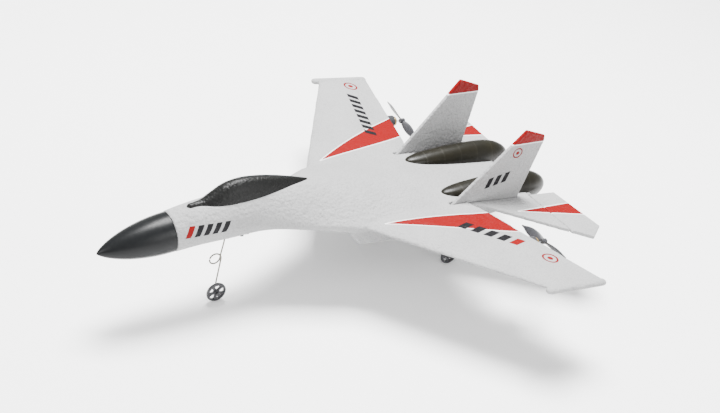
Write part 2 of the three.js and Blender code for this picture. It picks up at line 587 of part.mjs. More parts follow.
class CoilHalf extends THREE.Curve {
  constructor(fromDegrees, toDegrees, fromX, toX) {
    super();
    Object.assign(this, { fromDegrees, toDegrees, fromX, toX });
  }

  getPoint(t, target = new THREE.Vector3()) {
    const angle = THREE.MathUtils.degToRad(THREE.MathUtils.lerp(this.fromDegrees, this.toDegrees, t));
    const x = THREE.MathUtils.lerp(this.fromX, this.toX, t);
    const { coilRadius, coilZ } = NOSE_LEG;
    return target.set(x, COIL_Y + coilRadius * Math.cos(angle), coilZ + coilRadius * Math.sin(angle));
  }
}

// The upper wire runs down past the coil's middle and round underneath to the front; the lower
// wire starts at the front, goes over the top and runs down to the axle.
function noseLegUpper() {
  const join = new THREE.Vector3(-COIL_STEP, NOSE_LEG.y, NOSE_LEG.coilZ);
  const top = new THREE.Vector3(0, NOSE_LEG.y, NOSE_LEG.topZ);
  const lead = wire(new THREE.LineCurve3(top, join), WIRE_RADIUS, 1);
  const turn = wire(new CoilHalf(0, -180 + NOSE_LEG.splitDegrees / 2, -COIL_STEP, 0), WIRE_RADIUS, 12);
  return joined(lead, turn, ball(WIRE_RADIUS, join.toArray()));
}

function noseLegLower() {
  const start = new THREE.Vector3(COIL_STEP, NOSE_LEG.y, NOSE_LEG.coilZ);
  const turn = wire(new CoilHalf(0, 180 - NOSE_LEG.splitDegrees / 2, COIL_STEP, 0), WIRE_RADIUS, 12);
  const end = legEnd(COIL_STEP, NOSE_LEG.y, NOSE_LEG.coilZ, NOSE_LEG.axleZ);
  return joined(turn, end, ball(WIRE_RADIUS, start.toArray()));
}

addNode("nose_leg_socket", socket(0, NOSE_LEG.y, NOSE_LEG.mouthZ, NOSE_LEG.topZ + GAP), BLACK_PLASTIC);
addNode("nose_leg_upper_wire", noseLegUpper(), SPRING_STEEL);
addNode("nose_leg_lower_wire", noseLegLower(), SPRING_STEEL);
const noseWheelX = COIL_STEP + WHEEL_OFFSET;
const collarOffset = WHEEL.hubWidth / 2 + GAP;
const atNoseAxle = (solid, x) => solid.translate([x, NOSE_LEG.y, NOSE_LEG.axleZ]);
addNode("nose_wheel", atNoseAxle(wheel(), noseWheelX), BLACK_PLASTIC);
addNode("nose_wheel_collar", atNoseAxle(collar(), noseWheelX + collarOffset), BLACK_PLASTIC);

for (const { side: hand, name } of SIDES) {
  const leg = legEnd(MAIN_LEG.x, MAIN_LEG.y, MAIN_LEG.topZ, MAIN_LEG.axleZ);
  const wheelX = MAIN_LEG.x + WHEEL_OFFSET;
  const at = (solid, x) => mirrored(solid.translate([x, MAIN_LEG.y, MAIN_LEG.axleZ]), hand);
  const plug = socket(MAIN_LEG.x, MAIN_LEG.y, MAIN_LEG.mouthZ, MAIN_LEG.topZ + GAP);
  addNode(`${name}_leg_socket`, mirrored(plug, hand), BLACK_PLASTIC);
  addNode(`${name}_leg_wire`, mirrored(leg, hand), SPRING_STEEL);
  addNode(`${name}_main_wheel`, at(wheel(), wheelX), BLACK_PLASTIC);
  addNode(`${name}_wheel_collar`, at(collar(), wheelX + collarOffset), BLACK_PLASTIC);
}

// ---------------------------------------------------------------- battery bay and electronics
const bayMiddle = (BAY.front + BAY.back) / 2;
const seatZ = BAY.floorZ + HATCH.thickness + GAP;

// The box lines the bay, open below, with a flange that the hatch shuts against.
function bayBox() {
  const { front, back, halfWidth: wide, ceilingZ, wall, flange } = BAY;
  const shell = block([-wide, front, seatZ], [wide, back, ceilingZ]);
  const rim = block([-wide - flange, front - flange, seatZ], [wide + flange, back + flange, seatZ + wall]);
  const hollow = block([-wide + wall, front + wall, seatZ - 1], [wide - wall, back - wall, ceilingZ - wall]);
  const [, leadY, leadZ] = LEAD_POINTS[0];
  const ports = rod([-wide - 3, leadY, leadZ], [wide + 3, leadY, leadZ], 2.2, 12);
  return joined(shell, rim).subtract(joined(hollow, ports));
}

// The hatch hinges on a round bead along its front edge.
const hatchHinge = { y: BAY.front - BAY.flange + HATCH.hingeRadius, z: BAY.floorZ + HATCH.thickness / 2 };

function hatch() {
  const wide = BAY.halfWidth + BAY.flange;
  const [front, back] = [BAY.front - BAY.flange + 2 * HATCH.hingeRadius, BAY.back + BAY.flange];
  const top = BAY.floorZ + HATCH.thickness;
  const lid = block([-wide, front - HATCH.hingeRadius, BAY.floorZ], [wide, back, top]);
  const { y, z } = hatchHinge;
  const bead = rod([-wide, y, z], [wide, y, z], HATCH.thickness / 2, 16);
  const grip = block(
    [-GRIP.halfWidth, back - GRIP.front, BAY.floorZ - GRIP.depth],
    [GRIP.halfWidth, back - GRIP.back, BAY.floorZ + GRIP.root]);
  return joined(lid, bead, grip);
}

const batteryMiddleZ = seatZ + 1 + BATTERY.height / 2;
const boardZ = BAY.ceilingZ - BAY.wall - BOARD.drop;

function battery() {
  const [x, y] = [BATTERY.width / 2, BATTERY.length / 2];
  const outline = [[-x, -y], [x, -y], [x, y], [-x, y]];
  return moved(plate(outline, BATTERY.height, BATTERY.edge), 0, bayMiddle + BATTERY.aft, batteryMiddleZ);
}

function board() {
  const [x, y] = [BOARD.width / 2, BOARD.length / 2];
  const at = bayMiddle + BOARD.aft;
  const sheet = block([-x, at - y, boardZ], [x, at + y, boardZ + BOARD.thickness]);
  const chips = CHIPS.map(([cx, cy, w, l, h]) => block(
    [cx - w / 2, at + cy - l / 2, boardZ - h], [cx + w / 2, at + cy + l / 2, boardZ + 0.2]));
  return joined(sheet, ...chips);
}

const PLUG = { x: 6.4, y: bayMiddle - 18.6, width: 5, length: 4.6, height: 3.6 };
const plugBlock = (bottom, top) => block(
  [PLUG.x - PLUG.width / 2, PLUG.y - PLUG.length / 2, bottom],
  [PLUG.x + PLUG.width / 2, PLUG.y + PLUG.length / 2, top]);

// The battery's lead bends up from the end of the battery to its plug.
const plugSide = PLUG.x - PLUG.width / 2;
const plugMiddleZ = boardZ - 5.6;
const BATTERY_LEAD_POINTS = [
  [-3, bayMiddle + BATTERY.aft - BATTERY.length / 2 - GAP, batteryMiddleZ],
  [-3, bayMiddle - 18, batteryMiddleZ],
  [0, PLUG.y - 0.8, batteryMiddleZ + 1.6],
  [plugSide - 1.5, PLUG.y, plugMiddleZ],
  [plugSide - GAP, PLUG.y, plugMiddleZ],
];
const batteryLead = () => wire(curveThrough(BATTERY_LEAD_POINTS), LEAD_RADIUS, 16);

addNode("bay_box", bayBox(), BLACK_PLASTIC);
addNode("battery_hatch", hatch(), BLACK_PLASTIC);
addNode("battery", battery(), BATTERY_SLEEVE);
addNode("receiver_board", board(), BOARD_GREEN);
addNode("battery_socket", plugBlock(boardZ - PLUG.height, boardZ - GAP), WHITE_PLASTIC);
addNode("battery_plug", plugBlock(boardZ - 2 * PLUG.height, boardZ - PLUG.height - GAP), WHITE_PLASTIC);
addNode("battery_lead", batteryLead(), LEAD_RED);

// ---------------------------------------------------------------- power switch
function switchBody() {
  const [x, y] = [SWITCH.width / 2, SWITCH.length / 2];
  const body = block([-x, -y, SWITCH.recess], [x, y, SWITCH.depth]);
  const [slotX, slotY] = [KNOB.width / 2 + GAP, (KNOB.length + KNOB.travel) / 2 + GAP];
  return atSwitch(body.subtract(block([-slotX, -slotY, -1], [slotX, slotY, KNOB.top + GAP])));
}

// The knob rests at the front end of its slot, which is off.
const switchKnob = () => atSwitch(block(
  [-KNOB.width / 2, -(KNOB.length + KNOB.travel) / 2, KNOB.bottom],
  [KNOB.width / 2, (KNOB.length - KNOB.travel) / 2, KNOB.top]));

addNode("power_switch", switchBody(), BLACK_PLASTIC);
addNode("power_switch_knob", switchKnob(), BLACK_PLASTIC);

// ---------------------------------------------------------------- standing on its wheels
// The line under the nose wheel and the main wheels becomes level and the lowest of the aircraft.
const attitude = Math.atan2(MAIN_LEG.axleZ - NOSE_LEG.axleZ, MAIN_LEG.y - NOSE_LEG.y);
const airframe = new THREE.Group();
airframe.add(...nodes);
airframe.rotation.x = -attitude;
airframe.updateMatrixWorld(true);

const box = new THREE.Box3().setFromObject(airframe, true);
airframe.position.set(0, -(box.min.y + box.max.y) / 2, -box.min.z);

const aircraft = new THREE.Group();
aircraft.add(airframe);
aircraft.updateMatrixWorld(true);

export default aircraft;
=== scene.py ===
"""A small radio-controlled foam jet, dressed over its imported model.

Shapes are worked out in the airframe's own axes, in millimetres from the nose tip: x to the
aircraft's left, y aft and z up. One matrix then stands them on the wheels, in metres.
"""

import json
import logging
import math
from dataclasses import dataclass, field
from enum import Enum
from typing import Any, Callable, Mapping, Optional, Sequence, Union

import bmesh
import bpy
from mathutils import Matrix, Vector


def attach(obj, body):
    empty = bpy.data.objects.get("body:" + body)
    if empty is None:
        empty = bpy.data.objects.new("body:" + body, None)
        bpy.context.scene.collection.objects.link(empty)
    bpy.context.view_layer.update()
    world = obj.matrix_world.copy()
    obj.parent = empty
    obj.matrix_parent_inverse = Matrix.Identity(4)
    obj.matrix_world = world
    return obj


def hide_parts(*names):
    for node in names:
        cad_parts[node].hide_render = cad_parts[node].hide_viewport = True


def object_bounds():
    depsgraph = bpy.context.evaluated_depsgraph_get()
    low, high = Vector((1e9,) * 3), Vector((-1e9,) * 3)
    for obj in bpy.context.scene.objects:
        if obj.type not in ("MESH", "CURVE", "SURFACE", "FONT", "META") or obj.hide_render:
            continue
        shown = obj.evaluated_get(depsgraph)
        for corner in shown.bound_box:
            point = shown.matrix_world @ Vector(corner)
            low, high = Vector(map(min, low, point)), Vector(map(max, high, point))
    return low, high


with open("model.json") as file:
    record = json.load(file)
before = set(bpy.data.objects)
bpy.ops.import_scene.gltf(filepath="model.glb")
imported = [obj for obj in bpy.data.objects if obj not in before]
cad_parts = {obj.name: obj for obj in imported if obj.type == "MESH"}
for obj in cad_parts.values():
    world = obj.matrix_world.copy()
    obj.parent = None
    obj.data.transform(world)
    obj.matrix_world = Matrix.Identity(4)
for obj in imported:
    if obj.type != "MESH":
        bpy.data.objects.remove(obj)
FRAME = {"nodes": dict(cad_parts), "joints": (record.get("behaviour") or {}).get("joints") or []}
CAD_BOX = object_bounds()
MILLIMETRE = 0.001
MM_PER_METRE = 1000.0
WELD_MM = 1e-4
NODE_WELD_M = 2e-6

Colour = tuple[float, float, float]
Point = tuple[float, float, float]
Pair = tuple[float, float]
Ring = list[Vector]

log = logging.getLogger("foam_jet")


class Side(Enum):
    """The aircraft's two sides, as the sign of x."""

    LEFT = 1
    RIGHT = -1

    @property
    def label(self) -> str:
        """The word that starts this side's node names."""
        return self.name.lower()


# ---------------------------------------------------------------- where the airframe stands
@dataclass(frozen=True)
class Stance:
    """How the airframe stands on its wheels, read from the left propeller's joint.

    Args:
        hub: the left propeller's hub in the airframe's axes, in millimetres.
    """

    hub: Point = (101.9, 329.6, 34.9)

    @property
    def joint(self) -> Mapping[str, Any]:
        """The left propeller's joint in the record."""
        return next(j for j in FRAME["joints"] if j["name"] == "left_propeller_spin")

    @property
    def tilt(self) -> float:
        """The nose-up angle, in radians."""
        _, along, up = self.joint["axis"]
        return math.atan2(-up, along)

    @property
    def shift(self) -> Vector:
        """What is added after turning, in metres."""
        turned = Matrix.Rotation(-self.tilt, 3, "X") @ (Vector(self.hub) * MILLIMETRE)
        return Vector(self.joint["pos_m"]) - turned

    def matrix(self) -> Matrix:
        """From the airframe's millimetres to the ground's metres."""
        turn = Matrix.Rotation(-self.tilt, 4, "X")
        return Matrix.Translation(self.shift) @ turn @ Matrix.Scale(MILLIMETRE, 4)


STANCE = Stance()


# ---------------------------------------------------------------- shader expressions
class Value:
    """A socket's value in a shader, on which Python's operators add Math nodes."""

    def __init__(self, graph: "Graph", socket: bpy.types.NodeSocket) -> None:
        """Wraps one output socket.

        Args:
            graph: the material that it belongs to.
            socket: the output socket.
        """
        self.graph = graph
        self.socket = socket

    def __add__(self, other: "Number") -> "Value":
        """self + other."""
        return self.graph.maths("ADD", self, other)

    def __sub__(self, other: "Number") -> "Value":
        """self - other."""
        return self.graph.maths("SUBTRACT", self, other)

    def __rsub__(self, other: "Number") -> "Value":
        """other - self."""
        return self.graph.maths("SUBTRACT", other, self)

    def __mul__(self, other: "Number") -> "Value":
        """self * other."""
        return self.graph.maths("MULTIPLY", self, other)

    def __truediv__(self, other: "Number") -> "Value":
        """self / other."""
        return self.graph.maths("DIVIDE", self, other)

    def __rtruediv__(self, other: "Number") -> "Value":
        """other / self."""
        return self.graph.maths("DIVIDE", other, self)

    def __gt__(self, other: "Number") -> "Value":
        """1 where self is over other, and 0 elsewhere."""
        return self.graph.maths("GREATER_THAN", self, other)

    def __lt__(self, other: "Number") -> "Value":
        """1 where self is under other, and 0 elsewhere."""
        return self.graph.maths("LESS_THAN", self, other)

    def __abs__(self) -> "Value":
        """The value without its sign."""
        return self.graph.maths("ABSOLUTE", self)

    def fraction(self) -> "Value":
        """What follows the point."""
        return self.graph.maths("FRACT", self)

    def root(self) -> "Value":
        """The square root."""
        return self.graph.maths("SQRT", self)

    def at_most(self, other: "Number") -> "Value":
        """The smaller of self and other."""
        return self.graph.maths("MINIMUM", self, other)

    __radd__ = __add__
    __rmul__ = __mul__


Number = Union[Value, float]


class Graph:
    """One material's nodes."""

    def __init__(self, name: str) -> None:
        """Starts a material.

        Args:
            name: the material's name.
        """
        self.material = bpy.data.materials.new(name)
        self.material.use_nodes = True
        self.tree = self.material.node_tree
        self.shader = self.tree.nodes["Principled BSDF"]

    def node(
        self,
        kind: str,
        settings: Optional[Mapping[str, Any]] = None,
        inputs: Optional[Mapping[Union[str, int], Any]] = None,
        output: Union[str, int] = 0,
    ) -> Value:
        """Adds a node.

        Args:
            kind: the node's type.
            settings: its own settings, set first.
            inputs: values or links of its sockets, by name or index.
            output: the socket to hand back.

        Returns:
            The value of that socket.
        """
        made = self.tree.nodes.new(kind)
        for key, setting in (settings or {}).items():
            setattr(made, key, setting)
        for key, given in (inputs or {}).items():
            self.feed(made.inputs[key], given)
        return Value(self, made.outputs[output])

    def feed(self, socket: bpy.types.NodeSocket, given: Any) -> None:
        """Links a value to a socket, or sets the socket.

        Args:
            socket: the input socket.
            given: a Value, a number, or a colour or vector.
        """
        if isinstance(given, Value):
            self.tree.links.new(given.socket, socket)
        elif isinstance(given, tuple) and socket.type == "RGBA":
            socket.default_value = (*given, 1.0)
        else:
            socket.default_value = given

    def maths(self, operation: str, *terms: Number) -> Value:
        """A Math node on values and numbers."""
        return self.node("ShaderNodeMath", {"operation": operation}, dict(enumerate(terms)))

    def mix(self, factor: Number, low: Any, high: Any) -> Value:
        """A colour between two colours, by factor."""
        inputs = {0: factor, 6: low, 7: high}
        return self.node("ShaderNodeMix", {"data_type": "RGBA"}, inputs, output=2)

    def place(self) -> Value:
        """The point on the surface, in the ground's axes, in metres."""
        return self.node("ShaderNodeTexCoord", output="Object")

    def airframe_place(self) -> tuple[Value, Value, Value]:
        """Finds the point on the surface in the airframe's axes.

        Returns:
            Its x, y and z, in millimetres.
        """
        x, y, z = self.parts(self.place())
        cosine, sine = math.cos(STANCE.tilt), math.sin(STANCE.tilt)
        along, up = y - STANCE.shift.y, z - STANCE.shift.z
        aft, high = along * cosine - up * sine, along * sine + up * cosine
        return x * MM_PER_METRE, aft * MM_PER_METRE, high * MM_PER_METRE

    def facing(self) -> tuple[Value, Value, Value]:
        """The parts of the direction that the surface faces."""
        return self.parts(self.node("ShaderNodeTexCoord", output="Normal"))

    def parts(self, vector: Value) -> tuple[Value, Value, Value]:
        """Splits a vector.

        Args:
            vector: the vector.

        Returns:
            Its three parts.
        """
        split = self.node("ShaderNodeSeparateXYZ", inputs={0: vector})
        outputs = split.socket.node.outputs
        return Value(self, outputs[0]), Value(self, outputs[1]), Value(self, outputs[2])

    def noise(self, size_mm: float, detail: float = 3.0) -> Value:
        """Cloudy noise from 0 to 1 whose lumps are about size_mm across."""
        inputs = {"Vector": self.place(), "Scale": MM_PER_METRE / size_mm, "Detail": detail}
        return self.node("ShaderNodeTexNoise", inputs=inputs)

    def cells(self, size_mm: float, smoothness: float = 0.35) -> Value:
        """Rounded cells, like the beads of foam.

        Args:
            size_mm: how wide a cell is, about.
            smoothness: how far the cells run into each other.

        Returns:
            The distance to the middle of the nearest cell.
        """
        settings = {"feature": "SMOOTH_F1"}
        inputs = {"Vector": self.place(), "Scale": MM_PER_METRE / size_mm, "Smoothness": smoothness}
        return self.node("ShaderNodeTexVoronoi", settings, inputs)

    def bump(self, height: Value, depth_mm: float, under: Optional[Value] = None) -> Value:
        """A normal from a height.

        Args:
            height: the height, from 0 to 1.
            depth_mm: how far apart 0 and 1 are.
            under: a normal that this one is laid over.

        Returns:
            The new normal.
        """
        inputs = {"Strength": 1.0, "Distance": depth_mm * MILLIMETRE, "Height": height}
        if under is not None:
            inputs["Normal"] = under
        return self.node("ShaderNodeBump", inputs=inputs)

    def set(self, **sockets: Any) -> None:
        """Sets or links the shader's sockets, named with underscores for spaces."""
        for name, given in sockets.items():
            self.feed(self.shader.inputs[name.replace("_", " ").title().replace("Ior", "IOR")], given)


# ---------------------------------------------------------------- finishes
RED: Colour = (0.15, 0.0, 0.0005)
INK: Colour = (0.005, 0.005, 0.006)
STICKER_WHITE: Colour = (0.65, 0.65, 0.65)


@dataclass(frozen=True)
class Finish:
    """A plain moulded finish with a faint mottle and a fine grain.

    Args:
        name: the material's name.
        slot: the record's material slot; not used.
        colour: its base colour.
        roughness: its mean roughness.
        metallic: 1 for a metal.
        grain_mm: the size of its grain.
        grain_depth_mm: how deep the grain is.
        spread: how far the colour varies either way, as a share.
        gloss: the strength of its plain reflection.
        mottle_mm: the size of the colour's mottle.
        rub_mm: the size of the rubbed patches.
        rub_spread: how far the roughness varies over them.
    """

    name: str
    slot: str
    colour: Colour
    roughness: float
    metallic: float = 0.0
    grain_mm: float = 0.5
    grain_depth_mm: float = 0.02
    spread: float = 0.12
    gloss: float = 0.5
    mottle_mm: float = 9.0
    rub_mm: float = 2.5
    rub_spread: float = 0.22

    def tinted(self, share: float) -> Colour:
        """The colour made lighter or darker by a share."""
        red, green, blue = (min(part * share, 1.0) for part in self.colour)
        return red, green, blue

    def material(self) -> bpy.types.Material:
        """Makes the material.

        Returns:
            The finished material.
        """
        graph = Graph(self.name)
        graph.set(metallic=self.metallic, specular_ior_level=self.gloss)
        self.dress(graph)
        return graph.material

    def dress(self, graph: Graph) -> None:
        """Fills the graph with this finish.

        Args:
            graph: the material's nodes.
        """
        mottle = graph.noise(self.mottle_mm, 4.0)
        colour = graph.mix(mottle, self.tinted(1 - self.spread), self.tinted(1 + self.spread))
        rub = graph.noise(self.rub_mm, 5.0)
        graph.set(
            base_color=colour,
            roughness=(rub - 0.5) * self.rub_spread + self.roughness,
            normal=graph.bump(graph.noise(self.grain_mm, 2.0), self.grain_depth_mm),
        )


@dataclass(frozen=True)
class Foam(Finish):
    """Moulded bead foam, with stickers where markings says.

    Args:
        bead_mm: the size of the foam's beads.
        bead_depth_mm: how deep the lines between the beads are.
        swell_mm: the size of the slow swells in the moulded skin.
        swell_depth_mm: how deep the swells are.
        pebble_share: the size of the pebbles between the beads, as a share of a bead.
        cloud_mm: the size of the slow changes of shade.
        sticker_fill: how far a sticker fills the lines between the beads.
        sticker_gloss: how much smoother than foam a sticker is.
        markings: adds the stickers: it takes the graph and the bare colour, and returns the
            marked colour and where the stickers are.
    """

    bead_mm: float = 2.6
    bead_depth_mm: float = 0.9
    swell_mm: float = 9.0
    swell_depth_mm: float = 1.0
    pebble_share: float = 0.45
    cloud_mm: float = 26.0
    sticker_fill: float = 0.55
    sticker_gloss: float = 0.12
    markings: Optional[Callable[[Graph, Value], tuple[Value, Value]]] = None

    def dress(self, graph: Graph) -> None:
        """Fills the graph with beads, a faint mottle, painted shade in the hollows between pebbles, and the
        stickers.

        Args:
            graph: the material's nodes.
        """
        bead = graph.cells(self.bead_mm)
        pebble = graph.cells(self.bead_mm * self.pebble_share)
        cloud = graph.noise(self.cloud_mm, 4.0)
        swell = graph.noise(self.swell_mm, 3.0)
        # Colour: the cloud part is random tone; the pebble part darkens the hollows between pebbles, where
        # the bump sinks, so it is painted shade.
        shade = cloud * 0.45 + pebble * 0.55
        colour = graph.mix(shade, self.tinted(1 + self.spread), self.tinted(1 - self.spread))
        height = 1.0 - (bead * 0.7 + pebble * 0.3)
        gloss = (graph.noise(1.4, 3.0) - 0.5) * 0.2 + self.roughness
        if self.markings:
            colour, sticker = self.markings(graph, colour)
            height = height * (1.0 - sticker * self.sticker_fill)
            gloss = gloss - sticker * self.sticker_gloss
        hollows = graph.bump(swell, self.swell_depth_mm)
        beads = graph.bump(height, self.bead_depth_mm, under=hollows)
        graph.set(base_color=colour, roughness=gloss, normal=beads)


@dataclass(frozen=True)
class Shell(Finish):
    """A thin vacuum-formed shell with faint moulding lines across it.

    Args:
        line_mm: how far apart the moulding lines are.
        warm: the tint that the colour drifts to.
        worn: the colour along a moulding line.
    """

    line_mm: float = 17.0
    warm: Colour = (0.011, 0.0095, 0.005)
    worn: Colour = (0.03, 0.028, 0.02)

    def dress(self, graph: Graph) -> None:
        """Fills the graph with a warm tint and moulding lines.

        Args:
            graph: the material's nodes.
        """
        along = graph.airframe_place()[1]
        tint = graph.noise(14.0, 5.0)
        drifted = graph.mix(tint, self.colour, self.warm)
        line = 1.0 - (abs((along / self.line_mm).fraction() - 0.5) * 30.0).at_most(1.0)
        ripple = graph.noise(3.0, 2.0)
        graph.set(
            base_color=graph.mix(line * 0.3, drifted, self.worn),
            roughness=(ripple - 0.5) * 0.16 + self.roughness + line * 0.08,
            normal=graph.bump(line * 0.5 + ripple * 0.2, 0.07),
        )


@dataclass(frozen=True)
class DrawnMetal(Finish):
    """Metal with fine lines from drawing or turning, along or round the y axis.

    Args:
        fineness: the scale of the lines across and along.
    """

    fineness: Point = (4000.0, 4000.0, 400.0)

    def dress(self, graph: Graph) -> None:
        """Fills the graph with stretched noise and a darker stain.

        Args:
            graph: the material's nodes.
        """
        stretch = {"Vector": graph.place(), "Scale": self.fineness}
        mapped = graph.node("ShaderNodeMapping", {"vector_type": "POINT"}, stretch)
        lines = {"Vector": mapped, "Scale": 1.0, "Detail": 3.0}
        streak = graph.node("ShaderNodeTexNoise", inputs=lines)
        stain = graph.noise(6.0, 4.0)
        graph.set(
            base_color=graph.mix(stain, self.tinted(1 - self.spread), self.tinted(1 + self.spread)),
            roughness=(streak - 0.5) * 0.3 + self.roughness,
            normal=graph.bump(streak, 0.015),
        )


# ---------------------------------------------------------------- stickers
BORDER = 1.1
FACING_UP = 0.25
FACING_SIDE = 0.3
# The colour of the painted shade in the pressed line behind each wing's leading edge.
PAINTED_GROOVE_SHADE: Colour = (0.25, 0.25, 0.26)


@dataclass(frozen=True)
class Bars:
    """A row of slanted bars, which stands where lettering would.

    Args:
        start: where the row's middle line starts, on two of the airframe's axes.
        heading: the direction of the row, in degrees.
        count: how many bars.
        pitch: from one bar to the next.
        height: how tall the bars are.
        red_bar: which bar is red, or -1.
        slant: how far a bar leans for each millimetre of height.
        share: how much of the pitch a bar fills.
    """

    start: Pair
    heading: float
    count: int
    pitch: float
    height: float
    red_bar: int = -1
    slant: float = 0.45
    share: float = 0.62

    def masks(self, first: Value, second: Value) -> tuple[Value, Value]:
        """Where the bars are.

        Args:
            first: the point's first coordinate.
            second: its second coordinate.

        Returns:
            Where any bar is, and where the red one is.
        """
        turn = math.radians(self.heading)
        across, up = first - self.start[0], second - self.start[1]
        t = up * math.cos(turn) - across * math.sin(turn)
        s = across * math.cos(turn) + up * math.sin(turn) - t * self.slant
        in_row = (s > 0.0) * (s < self.count * self.pitch) * (abs(t) < self.height / 2)
        bar = in_row * ((s / self.pitch).fraction() < self.share)
        red = (s > self.red_bar * self.pitch) * (s < (self.red_bar + 1) * self.pitch)
        return bar, bar * red


@dataclass(frozen=True)
class RingMark:
    """A plain ring.

    Args:
        middle: its middle, on two of the airframe's axes.
        radius: the ring's mean radius.
        width: the width of its line.
        dot: the radius of the dot inside, as a share.
    """

    middle: Pair
    radius: float
    width: float = 1.5
    dot: float = 0.4

    def mask(self, first: Value, second: Value) -> Value:
        """Where the ring is.

        Args:
            first: the point's first coordinate.
            second: its second coordinate.

        Returns:
            1 on the ring's line and its dot.
        """
        across, up = first - self.middle[0], second - self.middle[1]
        away = (across * across + up * up).root()
        line = abs(away - self.radius) < self.width / 2
        return (line + (away < self.radius * self.dot)).at_most(1.0)


@dataclass(frozen=True)
class AirframeMarkings:
    """The stickers on the wings, nose and tailplane, and painted shade along a pressed line behind each
    wing's leading edge.
    """

    flash_front: Pair = (50.0, 212.5)
    flash_outer: Pair = (0.55, -0.0009)
    flash_inner: Pair = (0.1, 0.0007)
    wing_tail: Pair = (62.0, 299.9)
    wing_tail_slope: float = 0.288
    wedge_front: Pair = (63.8, 334.0)
    wedge_slopes: Pair = (0.058, 0.25)
    # Where the pressed line runs, how wide it is, and how strong its painted shade is.
    groove: tuple[Pair, Pair] = ((71.2, 218.8), (142.0, 271.4))
    groove_half_width: float = 0.5
    groove_shade: float = 0.35
    left_bars: Bars = Bars((72.0, 267.0), 40.0, 5, 10.4, 11.0, red_bar=4)
    right_bars: Bars = Bars((-140.0, 297.2), -18.0, 8, 9.2, 9.5)
    nose_bars: Bars = Bars((61.5, 19.6), 6.0, 5, 7.0, 8.4, red_bar=0)
    left_ring: RingMark = RingMark((133.1, 306.9), 5.8)
    right_ring: RingMark = RingMark((-156.1, 305.5), 5.8)

    def __call__(self, graph: Graph, bare: Value) -> tuple[Value, Value]:
        """Lays the stickers, and painted shade along the pressed line, over the bare foam.

        Args:
            graph: the material's nodes.
            bare: the foam's colour.

        Returns:
            The marked colour, and where the stickers are.
        """
        x, y, z = graph.airframe_place()
        facing_x, _, facing_z = graph.facing()
        out, top = abs(x), facing_z > FACING_UP
        flash = self._flash(out, y) * top
        wedge = self._wedge(out, y) * top
        red = ((flash > 0.0) + (wedge > 0.0)).at_most(1.0)
        border = ((flash > -BORDER) * top * self._flash_reach(out, y)
                  + (wedge > -BORDER) * top * self._wedge_reach(y)).at_most(1.0)
        red = red * border
        left_bars, left_red = self.left_bars.masks(x, y)
        right_bars, _ = self.right_bars.masks(x, y)
        nose_bars, nose_red = self.nose_bars.masks(y, z)
        rings = self.left_ring.mask(x, y) + self.right_ring.mask(x, y)
        beside = abs(facing_x) > FACING_SIDE
        ink = ((left_bars + right_bars) * top + nose_bars * beside).at_most(1.0)
        red_ink = ((left_red + rings) * top + nose_red * beside).at_most(1.0)
        # Painted shade along the pressed line behind the wing's leading edge.
        groove = self._groove_line(out, y) * top * self.groove_shade
        colour = graph.mix(groove, bare, PAINTED_GROOVE_SHADE)
        colour = graph.mix(border, colour, STICKER_WHITE)
        colour = graph.mix(red, colour, RED)
        colour = graph.mix(ink, colour, INK)
        colour = graph.mix(red_ink, colour, RED)
        return colour, (border + ink + red_ink).at_most(1.0)

    def _flash(self, out: Value, y: Value) -> Value:
        """How far inside the wing's flash a point is.

        Args:
            out: how far the point is from the middle plane.
            y: how far aft it is.

        Returns:
            The distance, under 0 outside.
        """
        tip_x, tip_y = self.flash_front
        along = y - tip_y
        outer = along * (along * self.flash_outer[1] + self.flash_outer[0]) + tip_x - out
        inner = out - tip_x - along * (along * self.flash_inner[1] + self.flash_inner[0])
        return outer.at_most(inner)

    def _flash_reach(self, out: Value, y: Value) -> Value:
        """The part of the wing where the flash may be."""
        edge = (out - self.wing_tail[0]) * self.wing_tail_slope + self.wing_tail[1]
        return (y > self.flash_front[1] - 2 * BORDER) * (y < edge)

    def _wedge(self, out: Value, y: Value) -> Value:
        """How far inside the tailplane's wedge a point is.

        Args:
            out: how far the point is from the middle plane.
            y: how far aft it is.

        Returns:
            The distance, under 0 outside.
        """
        tip_x, tip_y = self.wedge_front
        along = y - tip_y
        inner = out - tip_x + along * self.wedge_slopes[0]
        return (along * self.wedge_slopes[1] + tip_x - out).at_most(inner)

    def _wedge_reach(self, y: Value) -> Value:
        """The part of the tailplane where the wedge may be."""
        return y > self.wedge_front[1] - 2 * BORDER

    def _groove_line(self, out: Value, y: Value) -> Value:
        """Where painted shade goes along a pressed line behind the wing's leading edge.

        Args:
            out: how far the point is from the middle plane.
            y: how far aft it is.

        Returns:
            1 on the line.
        """
        (x0, y0), (x1, y1) = self.groove
        away = abs((out - x0) * ((y1 - y0) / (x1 - x0)) + y0 - y)
        return (away < self.groove_half_width) * (out > x0) * (out < x1)


@dataclass(frozen=True)
class FinMarkings:
    """The stickers on a fin: a red cap on both faces, and the rest on its outer face.

    Args:
        side: the side that the fin stands on.
    """

    side: Side
    cap_line: Pair = (320.8, 91.3)
    cap_slope: float = 0.071
    bars: Bars = Bars((308.5, 55.5), 16.0, 3, 8.0, 9.0)
    ring: RingMark = RingMark((329.4, 83.4), 4.2, 1.1)

    def __call__(self, graph: Graph, bare: Value) -> tuple[Value, Value]:
        """Lays the stickers over the bare foam.

        Args:
            graph: the material's nodes.
            bare: the foam's colour.

        Returns:
            The marked colour, and where the stickers are.
        """
        _, y, z = graph.airframe_place()
        outer = graph.facing()[0] * float(self.side.value) > FACING_SIDE
        above = z - (y - self.cap_line[0]) * self.cap_slope - self.cap_line[1]
        bars, _ = self.bars.masks(y, z)
        ring = self.ring.mask(y, z) * outer
        ink = bars * outer
        colour = graph.mix(above > -BORDER, bare, STICKER_WHITE)
        colour = graph.mix(above > 0.0, colour, RED)
        colour = graph.mix(ink, colour, INK)
        colour = graph.mix(ring, colour, RED)
        return colour, ((above > -BORDER) + ink + ring).at_most(1.0)


